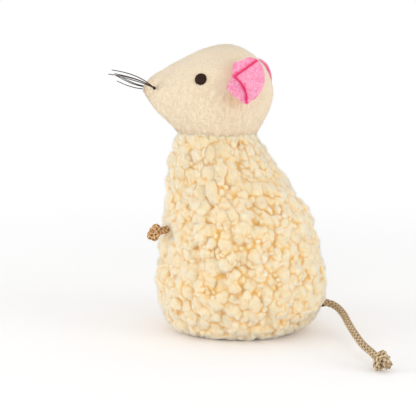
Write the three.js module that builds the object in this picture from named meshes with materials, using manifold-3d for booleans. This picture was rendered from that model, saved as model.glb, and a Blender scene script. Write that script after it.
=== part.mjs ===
// Catnip mouse: a stuffed fleece body and a plush head, felt ears, cord paws and tail,
// and a catnip pouch behind a flap in the base.
// Millimetres, +Z up, nose towards -Y, origin on the base at the middle of the body.
import * as THREE from "three";
import { mergeVertices } from "three/addons/utils/BufferGeometryUtils.js";
import Module from "manifold-3d";

// Shared fits: clearance between pieces, and how far a cutting block runs past what it cuts
const GAP = 0.3;
const THROUGH = 1;

// Body: main sizes, and its outline as [share of the height, share of half the size]
const BODY_HEIGHT = 72.5;
const BODY_DEPTH = 62;
const BODY_WIDTH = 55;
const BODY_FRONT = [
  [0, 0.723], [0.069, 0.893], [0.207, 0.986], [0.359, 0.989],
  [0.579, 0.902], [0.8, 0.867], [0.924, 0.816], [1, 0.712],
];
const BODY_BACK = [
  [0, 0.723], [0.069, 0.893], [0.193, 1.022], [0.414, 0.962],
  [0.621, 0.811], [0.786, 0.532], [0.924, 0.288], [1, 0.172],
];
const BODY_SIDE = [
  [0, 0.709], [0.069, 0.895], [0.221, 1], [0.414, 0.967],
  [0.621, 0.851], [0.828, 0.676], [1, 0.505],
];
const FLEECE = 5;
const SEAM = 0.3;
const BODY_RINGS = 17;
const BASE_RINGS = 3;
const RING_CROWDING = 1.4;
const BODY_SIDES = 36;

// Curls of the fleece: its main lumps, in staggered rows, with the body's outside over their tops.
// WANDER is the share of the spacing that a curl strays, and BORDER is the plain strip at hem and neck.
const CURL_SPACING = 8.3;
const CURL_DEPTH = 2;
const CURL_RADIUS = 5.4;
const CURL_WANDER = 0.22;
const CURL_BORDER = 4;
const CURL_RINGS = 26;
const CURL_CROWDING = 1.15;
const CURL_SIDES = 56;

// Head: main sizes, and the sections that fan round the throat from the neck seam to the nose.
// chin and crown are [share of the length, share of the height above the seam] on the middle plane,
// half is the share of half the width.
const HEAD_LENGTH = 47;
const HEAD_HEIGHT = 32.1;
const HEAD_WIDTH = 33.2;
const HEAD_SECTIONS = [
  { chin: [-0.468, 0], crown: [0.12, 0], half: 0.819 },
  { chin: [-0.481, 0.022], crown: [0.226, 0.28], half: 0.916 },
  { chin: [-0.502, 0.056], crown: [0.25, 0.514], half: 0.976 },
  { chin: [-0.531, 0.1], crown: [0.178, 0.775], half: 1 },
  { chin: [-0.566, 0.143], crown: [0.027, 0.955], half: 0.952 },
  { chin: [-0.602, 0.19], crown: [-0.136, 1], half: 0.843 },
  { chin: [-0.642, 0.246], crown: [-0.315, 0.93], half: 0.687 },
  { chin: [-0.68, 0.315], crown: [-0.496, 0.8], half: 0.494 },
  { chin: [-0.718, 0.393], crown: [-0.656, 0.661], half: 0.277 },
  { chin: [-0.745, 0.461], crown: [-0.726, 0.564], half: 0.114 },
];
const NOSE = [-0.757, 0.508];
const NOSE_ROUND = 0.7;
const NOSE_INSIDE = 1.8;
const NECK_TUCK = 3;
const PLUSH = 2;
const HEAD_RINGS = 22;
const HEAD_SIDES = 28;
const NOD_DEG = 8;
const NOD_SPARE_DEG = 0.5;
const NOD_AT = -0.162;

// Eyes and whiskers, placed on the head's side view as shares of its length and height
const EYE_AT = [-0.273, 0.657];
const EYE_DIA = 4.2;
const EYE_HEIGHT = 1.0;
const WHISKER_AT = [-0.634, 0.523];
const WHISKER_DIA = 0.5;
const WHISKER_KNOT_DIA = 1.5;
// Tips measured from the knot: [outwards, towards the nose, up]
const WHISKERS_LEFT = [[6.5, 16.2, 7.2], [8.5, 16.6, 5.8], [10.5, 13.8, 5.4], [9.5, 15.0, 6.8]];
const WHISKERS_RIGHT = [[6.5, 14.6, 5.0], [8.5, 15.4, 3.2], [10.5, 13.6, 4.2]];
const WHISKER_BOW = 1.2;

// Ears: sewn edge on the head's side view, and outline in the ear's own plane as shares of its size,
// [towards the back, up along the sewn edge] from the pinch in that edge
const EAR_AT = [-0.041, 0.677];
const EAR_EDGE_TOP = [-0.016, 0.82];
const EAR_EDGE_LOW = [-0.053, 0.54];
const EAR_RIGHT_DROP = 2.3;
const EAR_LENGTH = 13;
const EAR_HEIGHT = 17.3;
const EAR_OUTLINE = [
  [0.006, 0.1], [0.03, 0.25], [0.196, 0.307], [0.407, 0.411], [0.6, 0.42], [0.739, 0.36],
  [0.9, 0.19], [0.99, 0], [0.995, -0.17], [0.889, -0.393], [0.76, -0.535], [0.604, -0.574],
  [0.366, -0.493], [0.15, -0.4], [0.035, -0.3], [-0.004, -0.12],
];
const EAR_MIDDLE = [0.46, -0.06];
const EAR_THICK = 1.6;
const EAR_STAND = 0.4;
const EAR_FLARE_DEG = 17;
const EAR_FOLD_LIFT = 0.45;
const EAR_FOLD_UP = { from: [0.116, 0.005], to: [0.645, 0.372] };
const EAR_FOLD_LOW = { from: [0.119, -0.004], to: [0.64, -0.566] };
const EAR_OUT_DEG = 35;
const EAR_IN_DEG = 12;
const EAR_STEPS = 40;
const EAR_RINGS = 4;
const EAR_CUTS = 4;

// Cord of the paws and the tail
const CORD_DIA = 2.8;
const CORD_SIDES = 8;
const KNOT_DIA = 6.4;
const KNOT_LENGTH = 7.2;
const KNOT_WRAP = 1.0;
const KNOT_SLANT_DEG = 28;
const ANCHOR_DIA = 5.2;
const ANCHOR_DEPTH = 5;

// Paws: where they leave the fleece, and how far the knot stands out from the pivot
const ARM_Z = 39;
const ARM_LEFT_ANGLE_DEG = 28;
const ARM_RIGHT_ANGLE_DEG = 44;
const ARM_DIP_DEG = 8;
const ARM_PIVOT_DEPTH = 2.2;
const ARM_REACH = 7.4;
const ARM_SWING_DEG = 20;
const ARM_SPARE_DEG = 5;

// Tail: free stretch from its pivot behind the body to the knot on the floor
const TAIL_Z = 10.5;
const TAIL_ROUTE = [
  [3.4, 35.6, 10.0], [10.2, 38.3, 9.0], [20.8, 40.6, 7.8],
  [30.1, 43.1, 6.4], [37.4, 45.7, 5.0], [43.3, 48.5, 4.1], [48.7, 50.6, 3.6],
];
const TAIL_STEPS = 16;

// Base, flap and pouch
const BASE_THICK = 4.5;
const FLAP_HALF_WIDTH = 7.5;
const FLAP_FRONT_Y = 3;
const FLAP_BACK_Y = 14;
const FLAP_THICK = 0.9;
const FLAP_LIFT = 0.4;
const FLAP_ROOT = 1.2;
const TAPE_THICK = 0.6;
const TAPE_WIDTH = 3.2;
const TAPE_INSET = 0.8;
const MOUTH_HALF_WIDTH = 6;
const POUCH_WALL = 0.8;
const POUCH_RIM = 1;
const POUCH_HEIGHT = 34;
const CORNER = 1.5;

const wasm = await Module();
wasm.setup();
const rad = THREE.MathUtils.degToRad;
const V = (x, y, z) => new THREE.Vector3(x, y, z);

// Turns a three.js geometry into a solid that can be joined and cut.
function solid(geometry) {
  const bare = geometry.clone();
  bare.deleteAttribute("normal");
  bare.deleteAttribute("uv");
  const merged = mergeVertices(bare, 1e-4);
  const index = merged.index.array;
  const faces = [];
  for (let i = 0; i < index.length; i += 3) {
    const [a, b, c] = [index[i], index[i + 1], index[i + 2]];
    if (a !== b && b !== c && c !== a) faces.push(a, b, c);
  }
  return new wasm.Manifold(
    new wasm.Mesh({
      numProp: 3,
      vertProperties: merged.attributes.position.array,
      triVerts: new Uint32Array(faces),
    }),
  );
}

// Makes a named mesh of a solid.
function piece(name, made, colour, roughness) {
  const mesh = made.getMesh();
  const g = new THREE.BufferGeometry();
  g.setAttribute("position", new THREE.BufferAttribute(mesh.vertProperties, mesh.numProp));
  g.setIndex(new THREE.BufferAttribute(mesh.triVerts, 1));
  g.computeVertexNormals();
  const m = new THREE.Mesh(g, new THREE.MeshStandardMaterial({ color: colour, roughness, metalness: 0 }));
  m.name = name;
  return m;
}

// Skins a list of equal rings into a closed geometry, with a fan over each end.
function skin(rings) {
  const n = rings[0].length;
  const points = rings.flat();
  const middle = (ring) => ring.reduce((s, p) => s.add(p), V(0, 0, 0)).divideScalar(n);
  const first = points.push(middle(rings[0])) - 1;
  const last = points.push(middle(rings[rings.length - 1])) - 1;
  const faces = [];
  for (let i = 0; i < rings.length - 1; i++) {
    for (let k = 0; k < n; k++) {
      const [a, b] = [i * n + k, i * n + ((k + 1) % n)];
      faces.push(a, b, b + n, a, b + n, a + n);
    }
  }
  const top = (rings.length - 1) * n;
  for (let k = 0; k < n; k++) {
    const next = (k + 1) % n;
    faces.push(next, k, first, top + k, top + next, last);
  }
  const g = new THREE.BufferGeometry().setFromPoints(points);
  g.setIndex(faces);
  return g;
}

// Smooth curve through [place, value] pairs, read at any place.
function profile(pairs) {
  const curve = new THREE.SplineCurve(pairs.map(([p, v]) => new THREE.Vector2(p, v)));
  const fine = curve.getPoints(12 * pairs.length);
  return (place) => {
    let i = 1;
    while (i < fine.length - 1 && fine[i].x < place) i++;
    const [a, b] = [fine[i - 1], fine[i]];
    return a.y + ((place - a.x) / (b.x - a.x)) * (b.y - a.y);
  };
}

const bodyFront = profile(BODY_FRONT);
const bodyBack = profile(BODY_BACK);
const bodySide = profile(BODY_SIDE);

// Middle, half depth and half width of the body at a height, inset from the outside.
function bodyAt(z, inset) {
  const share = z / BODY_HEIGHT;
  const [front, back] = [(-bodyFront(share) * BODY_DEPTH) / 2, (bodyBack(share) * BODY_DEPTH) / 2];
  const wide = (bodySide(share) * BODY_WIDTH) / 2 - inset;
  return { mid: (front + back) / 2, deep: (back - front) / 2 - inset, wide };
}

// Point on the body's outside, at an angle from the front round towards +X, and its outward direction.
function bodyPoint(z, angle, inset) {
  const s = bodyAt(z, inset);
  const at = V(s.wide * Math.sin(angle), s.mid - s.deep * Math.cos(angle), z);
  const out = V(Math.sin(angle) / s.wide, -Math.cos(angle) / s.deep, 0).normalize();
  return { at, out };
}

// Rings of points round the body between two heights, more of them low down.
function bodyRings(low, high, steps, crowding, sides, pointAt) {
  const rings = [];
  for (let i = 0; i <= steps; i++) {
    const z = low + (high - low) * (i / steps) ** crowding;
    const ring = [];
    for (let k = 0; k < sides; k++) ring.push(pointAt(z, ((k + 0.5) * 2 * Math.PI) / sides));
    rings.push(ring);
  }
  return rings;
}

// Solid of the body's smooth shape between two heights, inset from the outside.
function bodyForm(inset, low, high, steps) {
  const pointAt = (z, angle) => bodyPoint(z, angle, inset).at;
  return solid(skin(bodyRings(low, high, steps, RING_CROWDING, BODY_SIDES, pointAt)));
}

// Middles of the fleece's main curls: one round each place given, then the rows.
function curlMiddles(places) {
  const found = [...places];
  const rows = Math.round(BODY_HEIGHT / (CURL_SPACING * Math.sin(Math.PI / 3)));
  for (let row = 0; row < rows; row++) {
    const level = ((row + 0.5) * BODY_HEIGHT) / rows;
    const { wide, deep } = bodyAt(level, 0);
    const count = Math.round((Math.PI * (wide + deep)) / CURL_SPACING);
    for (let k = 0; k < count; k++) {
      const seed = row * row + k * k;
      const turn = (k + (row % 2) / 2 + CURL_WANDER * Math.sin(seed)) / count;
      const z = level + CURL_WANDER * CURL_SPACING * Math.cos(seed);
      found.push(bodyPoint(z, turn * 2 * Math.PI, 0).at);
    }
  }
  return found;
}

// Solid of the fleece's outside, sunk between its curls.
function curledForm(middles) {
  const pointAt = (z, angle) => {
    const { at } = bodyPoint(z, angle, 0);
    const near = Math.min(...middles.map((middle) => middle.distanceTo(at)));
    const border = Math.min(1, Math.min(z, BODY_HEIGHT - z) / CURL_BORDER);
    return bodyPoint(z, angle, CURL_DEPTH * border * Math.min(1, (near / CURL_RADIUS) ** 2)).at;
  };
  return solid(skin(bodyRings(0, BODY_HEIGHT, CURL_RINGS, CURL_CROWDING, CURL_SIDES, pointAt)));
}

// Place on the head's side view, [y, z], from shares of its length and height.
const onSide = ([along, up]) => [along * HEAD_LENGTH, BODY_HEIGHT + up * HEAD_HEIGHT];
const headCurve = (pick) => new THREE.SplineCurve(HEAD_SECTIONS.map((s) => new THREE.Vector2(...pick(s))));
const chinCurve = headCurve((s) => onSide(s.chin));
const crownCurve = headCurve((s) => onSide(s.crown));
const halfCurve = headCurve((s) => [(s.half * HEAD_WIDTH) / 2, 0]);

// Section of the head at a share of the way from the neck to the nose.
function headAt(share) {
  const [chin, crown] = [chinCurve.getPoint(share), crownCurve.getPoint(share)];
  return { chin, crown, half: halfCurve.getPoint(share).x };
}

// Ring round a section of the head, grown or inset from the outside.
function headRing(section, inset) {
  const mid = section.chin.clone().add(section.crown).divideScalar(2);
  const reach = section.crown.clone().sub(mid);
  const along = reach.length();
  reach.normalize();
  const ring = [];
  for (let k = 0; k < HEAD_SIDES; k++) {
    const a = ((k + 0.5) * 2 * Math.PI) / HEAD_SIDES;
    const up = (along - inset) * Math.cos(a);
    ring.push(V((inset - section.half) * Math.sin(a), mid.x + reach.x * up, mid.y + reach.y * up));
  }
  return ring;
}

// Solid of the head's shape, carried a little below the neck seam; an inset form ends short of the nose.
function headForm(inset) {
  const drop = V(0, 0, -NECK_TUCK);
  const rings = [headRing(headAt(0), inset).map((p) => p.add(drop))];
  for (let i = 0; i <= HEAD_RINGS; i++) {
    const section = headAt(i / HEAD_RINGS);
    if (section.half > NOSE_INSIDE * inset) rings.push(headRing(section, inset));
  }
  if (inset <= 0) {
    const [noseY, noseZ] = onSide(NOSE);
    const nose = V(0, noseY + inset, noseZ);
    rings.push(rings[rings.length - 1].map((p) => p.clone().lerp(nose, NOSE_ROUND)));
  }
  return solid(skin(rings));
}

// Half width of the head at a place on its side view.
function headSide(y, z) {
  const at = new THREE.Vector2(y, z);
  let [low, high] = [0, 1];
  for (let i = 0; i < 30; i++) {
    const middle = (low + high) / 2;
    const { chin, crown } = headAt(middle);
    if (crown.clone().sub(chin).cross(at.clone().sub(chin)) > 0) low = middle;
    else high = middle;
  }
  const { chin, crown, half } = headAt(low);
  const mid = chin.clone().add(crown).divideScalar(2);
  const share = at.distanceTo(mid) / crown.distanceTo(mid);
  return half * Math.sqrt(1 - share * share);
}

// Outward direction of the head's left side at a place on its side view.
function headOut(y, z) {
  const step = 0.4;
  const slopeY = (headSide(y + step, z) - headSide(y - step, z)) / (2 * step);
  const slopeZ = (headSide(y, z + step) - headSide(y, z - step)) / (2 * step);
  return V(1, -slopeY, -slopeZ).normalize();
}

// Cuts away what lies under the two planes that the head may nod down to.
function aboveNeck(made) {
  const tilt = rad(NOD_DEG + NOD_SPARE_DEG);
  const cut = (sign) => [0, sign * Math.sin(tilt), Math.cos(tilt)];
  const [nodY, nodZ] = onSide([NOD_AT, 0]);
  const level = (n) => n[1] * nodY + n[2] * (nodZ + GAP);
  const [back, front] = [cut(-1), cut(1)];
  return made.trimByPlane(back, level(back)).trimByPlane(front, level(front));
}

// Keeps one side of the middle plane, clear of the seam.
const sideOf = (made, sign) => made.trimByPlane([sign, 0, 0], SEAM / 2);

// Solid tube along a curve.
function tube(curve, dia, sides, steps) {
  const ring = new THREE.Shape().absarc(0, 0, dia / 2, 0, 2 * Math.PI);
  const options = { steps, bevelEnabled: false, curveSegments: sides, extrudePath: curve };
  return solid(new THREE.ExtrudeGeometry(ring, options));
}

// Ball of three half sizes.
function ball(x, y, z, fine) {
  return solid(new THREE.SphereGeometry(1, fine, fine / 2).scale(x, y, z));
}

// Solid moved so that its own +Z points a way and its origin sits at a point.
function stand(made, at, way) {
  const turn = new THREE.Quaternion().setFromUnitVectors(V(0, 0, 1), way.clone().normalize());
  return made.transform(new THREE.Matrix4().compose(at, turn, V(1, 1, 1)).elements);
}

// Knot of cord with its middle at the origin: a bulb with a wrap on the slant and a cut end.
function knot() {
  const bulb = ball(KNOT_DIA / 2, KNOT_DIA / 2, KNOT_LENGTH / 2, 16);
  const wrap = solid(new THREE.TorusGeometry(KNOT_DIA / 2 - KNOT_WRAP / 2, KNOT_WRAP, 8, 20));
  return bulb.add(wrap.rotate([KNOT_SLANT_DEG, 0, 0]));
}

// Upright block with rounded corners between two heights.
function block(halfX, y0, y1, z0, z1, corner) {
  const s = new THREE.Shape();
  s.moveTo(-halfX + corner, y0);
  s.lineTo(halfX - corner, y0);
  s.absarc(halfX - corner, y0 + corner, corner, -Math.PI / 2, 0);
  s.absarc(halfX - corner, y1 - corner, corner, 0, Math.PI / 2);
  s.absarc(-halfX + corner, y1 - corner, corner, Math.PI / 2, Math.PI);
  s.absarc(-halfX + corner, y0 + corner, corner, Math.PI, 1.5 * Math.PI);
  const g = new THREE.ExtrudeGeometry(s, { depth: z1 - z0, bevelEnabled: false, curveSegments: 5 });
  return solid(g.translate(0, 0, z0));
}

// Inner end of a cord, sewn into the seam: a stub through the fleece and a bulb behind it.
const cordRadius = CORD_DIA / 2;
function anchor(at, out, from, grow) {
  const length = FLEECE + ANCHOR_DEPTH - from;
  const stub = solid(
    new THREE.CylinderGeometry(cordRadius + grow, cordRadius + grow, length, 12).rotateX(Math.PI / 2),
  ).translate([0, 0, -from - length / 2]);
  const bulbRadius = ANCHOR_DIA / 2 + grow;
  const bulb = ball(bulbRadius, bulbRadius, bulbRadius, 12).translate([0, 0, -FLEECE - ANCHOR_DEPTH]);
  return stand(stub.add(bulb), at, out);
}

// Paw at an angle from the front: a cord that pivots in the fleece, its knot, its sewn inner end,
// and the space that these take out of the fleece and the filling.
function makeArm(angleDeg) {
  const root = bodyPoint(ARM_Z, rad(angleDeg), 0);
  const out = root.out.clone().setZ(-Math.tan(rad(ARM_DIP_DEG))).normalize();
  const pivot = root.at.clone().addScaledVector(out, -ARM_PIVOT_DEPTH);
  const length = ARM_REACH - KNOT_LENGTH / 2 - GAP;
  const shaft = solid(new THREE.CylinderGeometry(cordRadius, cordRadius, length, 12).rotateX(Math.PI / 2));
  const bulb = ball(cordRadius, cordRadius, cordRadius, 12);
  const slope = Math.tan(rad(ARM_SWING_DEG + ARM_SPARE_DEG));
  const cone = [
    new THREE.Vector2(0, -cordRadius - GAP),
    new THREE.Vector2(cordRadius + GAP, -cordRadius / 2),
    new THREE.Vector2(cordRadius + GAP, 0),
    new THREE.Vector2(cordRadius + GAP + FLEECE * slope, FLEECE),
    new THREE.Vector2(0, FLEECE),
  ];
  const from = ARM_PIVOT_DEPTH + cordRadius + GAP;
  return {
    root: root.at,
    cord: stand(bulb.add(shaft.translate([0, 0, length / 2])), pivot, out),
    knot: stand(knot(), pivot.clone().addScaledVector(out, ARM_REACH), out),
    anchor: anchor(root.at, out, from, 0),
    swingClear: stand(solid(new THREE.LatheGeometry(cone, 14).rotateX(Math.PI / 2)), pivot, out),
    anchorClear: anchor(root.at, out, from - 2 * GAP, GAP),
  };
}
const armLeft = makeArm(ARM_LEFT_ANGLE_DEG);
const armRight = makeArm(-ARM_RIGHT_ANGLE_DEG);

// Tail: where it leaves the back seam, its sewn inner end and the space for it
const tailRoot = bodyPoint(TAIL_Z, Math.PI, 0);
const tailAnchor = anchor(tailRoot.at, tailRoot.out, 0, 0);
const tailAnchorClear = anchor(tailRoot.at, tailRoot.out, -GAP, GAP);
const mirrored = (made) => made.mirror([1, 0, 0]);

// Body: fleece panels, base and filling
const bodyOuter = curledForm(curlMiddles([armLeft.root, armRight.root, tailRoot.at]));
const bodyInner = bodyForm(FLEECE, -GAP, BODY_HEIGHT + GAP, BODY_RINGS);
const fleece = bodyOuter
  .subtract(bodyInner)
  .subtract(armLeft.swingClear)
  .subtract(armRight.swingClear)
  .subtract(armLeft.anchorClear)
  .subtract(armRight.anchorClear)
  .subtract(tailAnchorClear);

const flapTop = FLAP_LIFT + FLAP_THICK;
const hookZ = flapTop + GAP;
const loopZ = hookZ + TAPE_THICK + GAP;
const ledgeZ = loopZ + TAPE_THICK + GAP;
const tapeFront = FLAP_FRONT_Y + TAPE_INSET;
const tapeBack = tapeFront + TAPE_WIDTH;
const tapeHalf = FLAP_HALF_WIDTH - TAPE_INSET;
const mouthFront = tapeBack + GAP;
const mouthBack = FLAP_BACK_Y - FLAP_ROOT - GAP;
const pouchFront = mouthFront - POUCH_RIM;
const pouchBack = mouthBack + POUCH_RIM;
const pouchHalf = MOUTH_HALF_WIDTH + POUCH_RIM;
const pouchLow = BASE_THICK + GAP;
const pouchTop = pouchLow + POUCH_HEIGHT;
const recess = block(
  FLAP_HALF_WIDTH + GAP, FLAP_FRONT_Y - GAP, FLAP_BACK_Y + GAP, -THROUGH, ledgeZ, CORNER + GAP,
);
const mouth = block(MOUTH_HALF_WIDTH, mouthFront, mouthBack, 0, BASE_THICK + THROUGH, CORNER);
const base = bodyForm(FLEECE + GAP, 0, BASE_THICK, BASE_RINGS).subtract(recess).subtract(mouth);

const pouchOut = block(pouchHalf, pouchFront, pouchBack, pouchLow, pouchTop, CORNER);
const pouchIn = block(
  pouchHalf - POUCH_WALL, pouchFront + POUCH_WALL, pouchBack - POUCH_WALL,
  pouchLow - THROUGH, pouchTop - POUCH_WALL, CORNER,
);
const catnip = block(
  pouchHalf - POUCH_WALL - GAP, pouchFront + POUCH_WALL + GAP, pouchBack - POUCH_WALL - GAP,
  pouchLow, pouchTop - POUCH_WALL - GAP, CORNER,
);
const pouchClear = block(
  pouchHalf + GAP, pouchFront - GAP, pouchBack + GAP, pouchLow - THROUGH, pouchTop + GAP, CORNER,
);
const bodyFill = bodyForm(FLEECE + GAP, BASE_THICK + GAP, BODY_HEIGHT, BODY_RINGS)
  .subtract(pouchClear)
  .subtract(armLeft.anchorClear)
  .subtract(armRight.anchorClear)
  .subtract(tailAnchorClear);

// Flap: a panel under the mouth with an upright sewn root along its back edge
const flap = block(FLAP_HALF_WIDTH, FLAP_FRONT_Y, FLAP_BACK_Y, FLAP_LIFT, flapTop, CORNER).add(
  block(tapeHalf, FLAP_BACK_Y - FLAP_ROOT, FLAP_BACK_Y, FLAP_LIFT, ledgeZ - GAP, FLAP_ROOT / 4),
);
const hook = block(tapeHalf, tapeFront, tapeBack, hookZ, hookZ + TAPE_THICK, CORNER / 3);
const loop = block(tapeHalf, tapeFront, tapeBack, loopZ, loopZ + TAPE_THICK, CORNER / 3);

// Head: plush panels and filling
const headOuter = headForm(0);
const plush = aboveNeck(headOuter.subtract(headForm(PLUSH)));
const headFill = aboveNeck(headForm(PLUSH + GAP));
const headClear = headForm(-GAP);

// Eye: a low dome cut to lie on the plush
const onHead = ([y, z]) => V(headSide(y, z), y, z);
const eyeSpot = onSide(EYE_AT);
const eyeDome = ball(EYE_DIA / 2, EYE_DIA / 2, EYE_HEIGHT + GAP, 16);
const eye = stand(eyeDome, onHead(eyeSpot), headOut(...eyeSpot)).subtract(headClear);

// Whiskers of one side: bowed threads that share a knot on the snout
function whiskers(tips) {
  const spot = onSide(WHISKER_AT);
  const radius = WHISKER_KNOT_DIA / 2;
  const at = onHead(spot).addScaledVector(headOut(...spot), radius + GAP);
  let made = ball(radius, radius, radius, 10).translate(at.toArray());
  for (const [outwards, ahead, up] of tips) {
    const tip = at.clone().add(V(outwards, -ahead, up));
    const bow = at.clone().lerp(tip, 0.5).add(V(0, 0, WHISKER_BOW));
    made = made.add(tube(new THREE.QuadraticBezierCurve3(at, bow, tip), WHISKER_DIA, 5, 7));
  }
  return made;
}

// Ear: a felt plate with its upper and lower edges folded outwards, bending about its sewn edge.
// Its frame on the head's left side is the pinch point and the directions up, back and out.
function earFrame(drop) {
  const sewn = (share) => {
    const [y, z] = onSide(share);
    return onHead([y, z - drop]);
  };
  const up = sewn(EAR_EDGE_TOP).sub(sewn(EAR_EDGE_LOW)).normalize();
  const flare = V(Math.sin(rad(EAR_FLARE_DEG)), Math.cos(rad(EAR_FLARE_DEG)), 0);
  const back = flare.addScaledVector(up, -flare.dot(up)).normalize();
  return { base: sewn(EAR_AT), up, back, out: back.clone().cross(up) };
}

// Place in the ear's plane from shares of its size.
const onEar = ([along, up]) => new THREE.Vector2(along * EAR_LENGTH, up * EAR_HEIGHT);
const earMiddle = onEar(EAR_MIDDLE);

// How far a place on the ear lies beyond a fold, on the side away from the ear's middle.
function beyond(fold, u, v) {
  const from = onEar(fold.from);
  const along = onEar(fold.to).sub(from).normalize();
  const side = (a, b) => along.x * (b - from.y) - along.y * (a - from.x);
  return Math.max(0, side(u, v) * -Math.sign(side(earMiddle.x, earMiddle.y)));
}

// Point on one face of the ear.
function earPoint(frame, u, v, side) {
  const lift = EAR_FOLD_LIFT * (beyond(EAR_FOLD_UP, u, v) + beyond(EAR_FOLD_LOW, u, v));
  const at = frame.base.clone().addScaledVector(frame.back, u).addScaledVector(frame.up, v);
  return at.addScaledVector(frame.out, EAR_STAND + lift + (side * EAR_THICK) / 2);
}

function earPlate(frame) {
  const corners = EAR_OUTLINE.map((p) => V(onEar(p).x, onEar(p).y, 0));
  const rim = new THREE.CatmullRomCurve3(corners, true).getSpacedPoints(EAR_STEPS).slice(0, -1);
  const { x, y } = earMiddle;
  const ringAt = (share, side) =>
    rim.map((p) => earPoint(frame, x + (p.x - x) * share, y + (p.y - y) * share, side));
  const rings = [];
  for (let i = 1; i <= EAR_RINGS; i++) rings.push(ringAt(i / EAR_RINGS, 1));
  for (let i = EAR_RINGS; i >= 1; i--) rings.push(ringAt(i / EAR_RINGS, -1));
  return solid(skin(rings));
}

// Ear whose sewn edge lies lower by a drop, with the head cut from it at each step of the bend.
function makeEar(drop) {
  const frame = earFrame(drop);
  let made = earPlate(frame);
  for (let i = 0; i <= EAR_CUTS; i++) {
    const angle = -EAR_IN_DEG + ((EAR_OUT_DEG + EAR_IN_DEG) * i) / EAR_CUTS;
    const turn = new THREE.Matrix4()
      .makeTranslation(frame.base)
      .multiply(new THREE.Matrix4().makeRotationAxis(frame.up, rad(angle)))
      .multiply(new THREE.Matrix4().makeTranslation(frame.base.clone().negate()));
    made = made.subtract(headClear.transform(turn.elements));
  }
  return made;
}

// Tail: pivot behind the body, free cord and the knot on the floor
const tailPivot = tailRoot.at.clone().add(V(0, cordRadius + GAP, 0));
const tailPath = new THREE.CatmullRomCurve3([tailPivot, ...TAIL_ROUTE.map((p) => V(...p))]);
const tailEnd = tailPath.getPoint(1);
const tailWay = tailPath.getTangent(1).setZ(0).normalize();
const tailCord = tube(tailPath, CORD_DIA, CORD_SIDES, TAIL_STEPS).add(
  ball(cordRadius, cordRadius, cordRadius, 12).translate(tailPivot.toArray()),
);
const knotReach = (KNOT_DIA + KNOT_WRAP) / 2;
const tailKnotAt = tailEnd.clone().addScaledVector(tailWay, KNOT_LENGTH / 2 + GAP).setZ(knotReach);
const tailKnot = stand(knot(), tailKnotAt, tailWay);

const CREAM = 0xf2dcb4;
const BEIGE = 0xeedcc0;
const PINK = 0xfbaac8;
const BLACK = 0x281a16;
const JUTE = 0xbe9568;
const FLAX = 0xc8b08a;
const WHITE = 0xf4f2ee;
const HERB = 0x6f7a4a;

const group = (name, ...meshes) => {
  const g = new THREE.Group();
  g.name = name;
  g.add(...meshes);
  return g;
};

export default group(
  "catnip_mouse",
  group(
    "torso",
    piece("body_panel_left", sideOf(fleece, 1), CREAM, 0.95),
    piece("body_panel_right", sideOf(fleece, -1), CREAM, 0.95),
    piece("base_panel", base, CREAM, 0.9),
    piece("body_stuffing", bodyFill, WHITE, 0.95),
    piece("catnip_pouch", pouchOut.subtract(pouchIn), WHITE, 0.9),
    piece("catnip_fill", catnip, HERB, 0.95),
    piece("loop_strip", loop, WHITE, 0.9),
    piece("tail_anchor", tailAnchor, FLAX, 0.9),
    piece("arm_anchor_left", armLeft.anchor, JUTE, 0.9),
    piece("arm_anchor_right", armRight.anchor, JUTE, 0.9),
  ),
  group("flap", piece("flap_panel", flap, CREAM, 0.9), piece("hook_strip", hook, WHITE, 0.7)),
  group(
    "head",
    piece("head_panel_left", sideOf(plush, 1), BEIGE, 0.9),
    piece("head_panel_right", sideOf(plush, -1), BEIGE, 0.9),
    piece("head_stuffing", headFill, WHITE, 0.95),
    piece("eye_left", eye, BLACK, 0.6),
    piece("eye_right", mirrored(eye), BLACK, 0.6),
    piece("whiskers_left", whiskers(WHISKERS_LEFT), BLACK, 0.8),
    piece("whiskers_right", mirrored(whiskers(WHISKERS_RIGHT)), BLACK, 0.8),
    piece("ear_left", makeEar(0), PINK, 0.9),
    piece("ear_right", mirrored(makeEar(EAR_RIGHT_DROP)), PINK, 0.9),
  ),
  group(
    "arm_left",
    piece("arm_cord_left", armLeft.cord, JUTE, 0.9),
    piece("arm_knot_left", armLeft.knot, JUTE, 0.9),
  ),
  group(
    "arm_right",
    piece("arm_cord_right", armRight.cord, JUTE, 0.9),
    piece("arm_knot_right", armRight.knot, JUTE, 0.9),
  ),
  group("tail", piece("tail_cord", tailCord, FLAX, 0.9), piece("tail_knot", tailKnot, FLAX, 0.9)),
);
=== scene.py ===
"""Looks of the catnip mouse: fleece, plush, felt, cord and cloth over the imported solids.

Sizes are in millimetres and the scene is in metres; +Z is up and the nose points to -Y.
"""

import logging
import math
import random
from dataclasses import dataclass, field
from enum import Enum
from functools import cached_property
from typing import Callable, Sequence

import bmesh
import bpy
import numpy as np
from mathutils import Matrix, Vector, kdtree, noise


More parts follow.
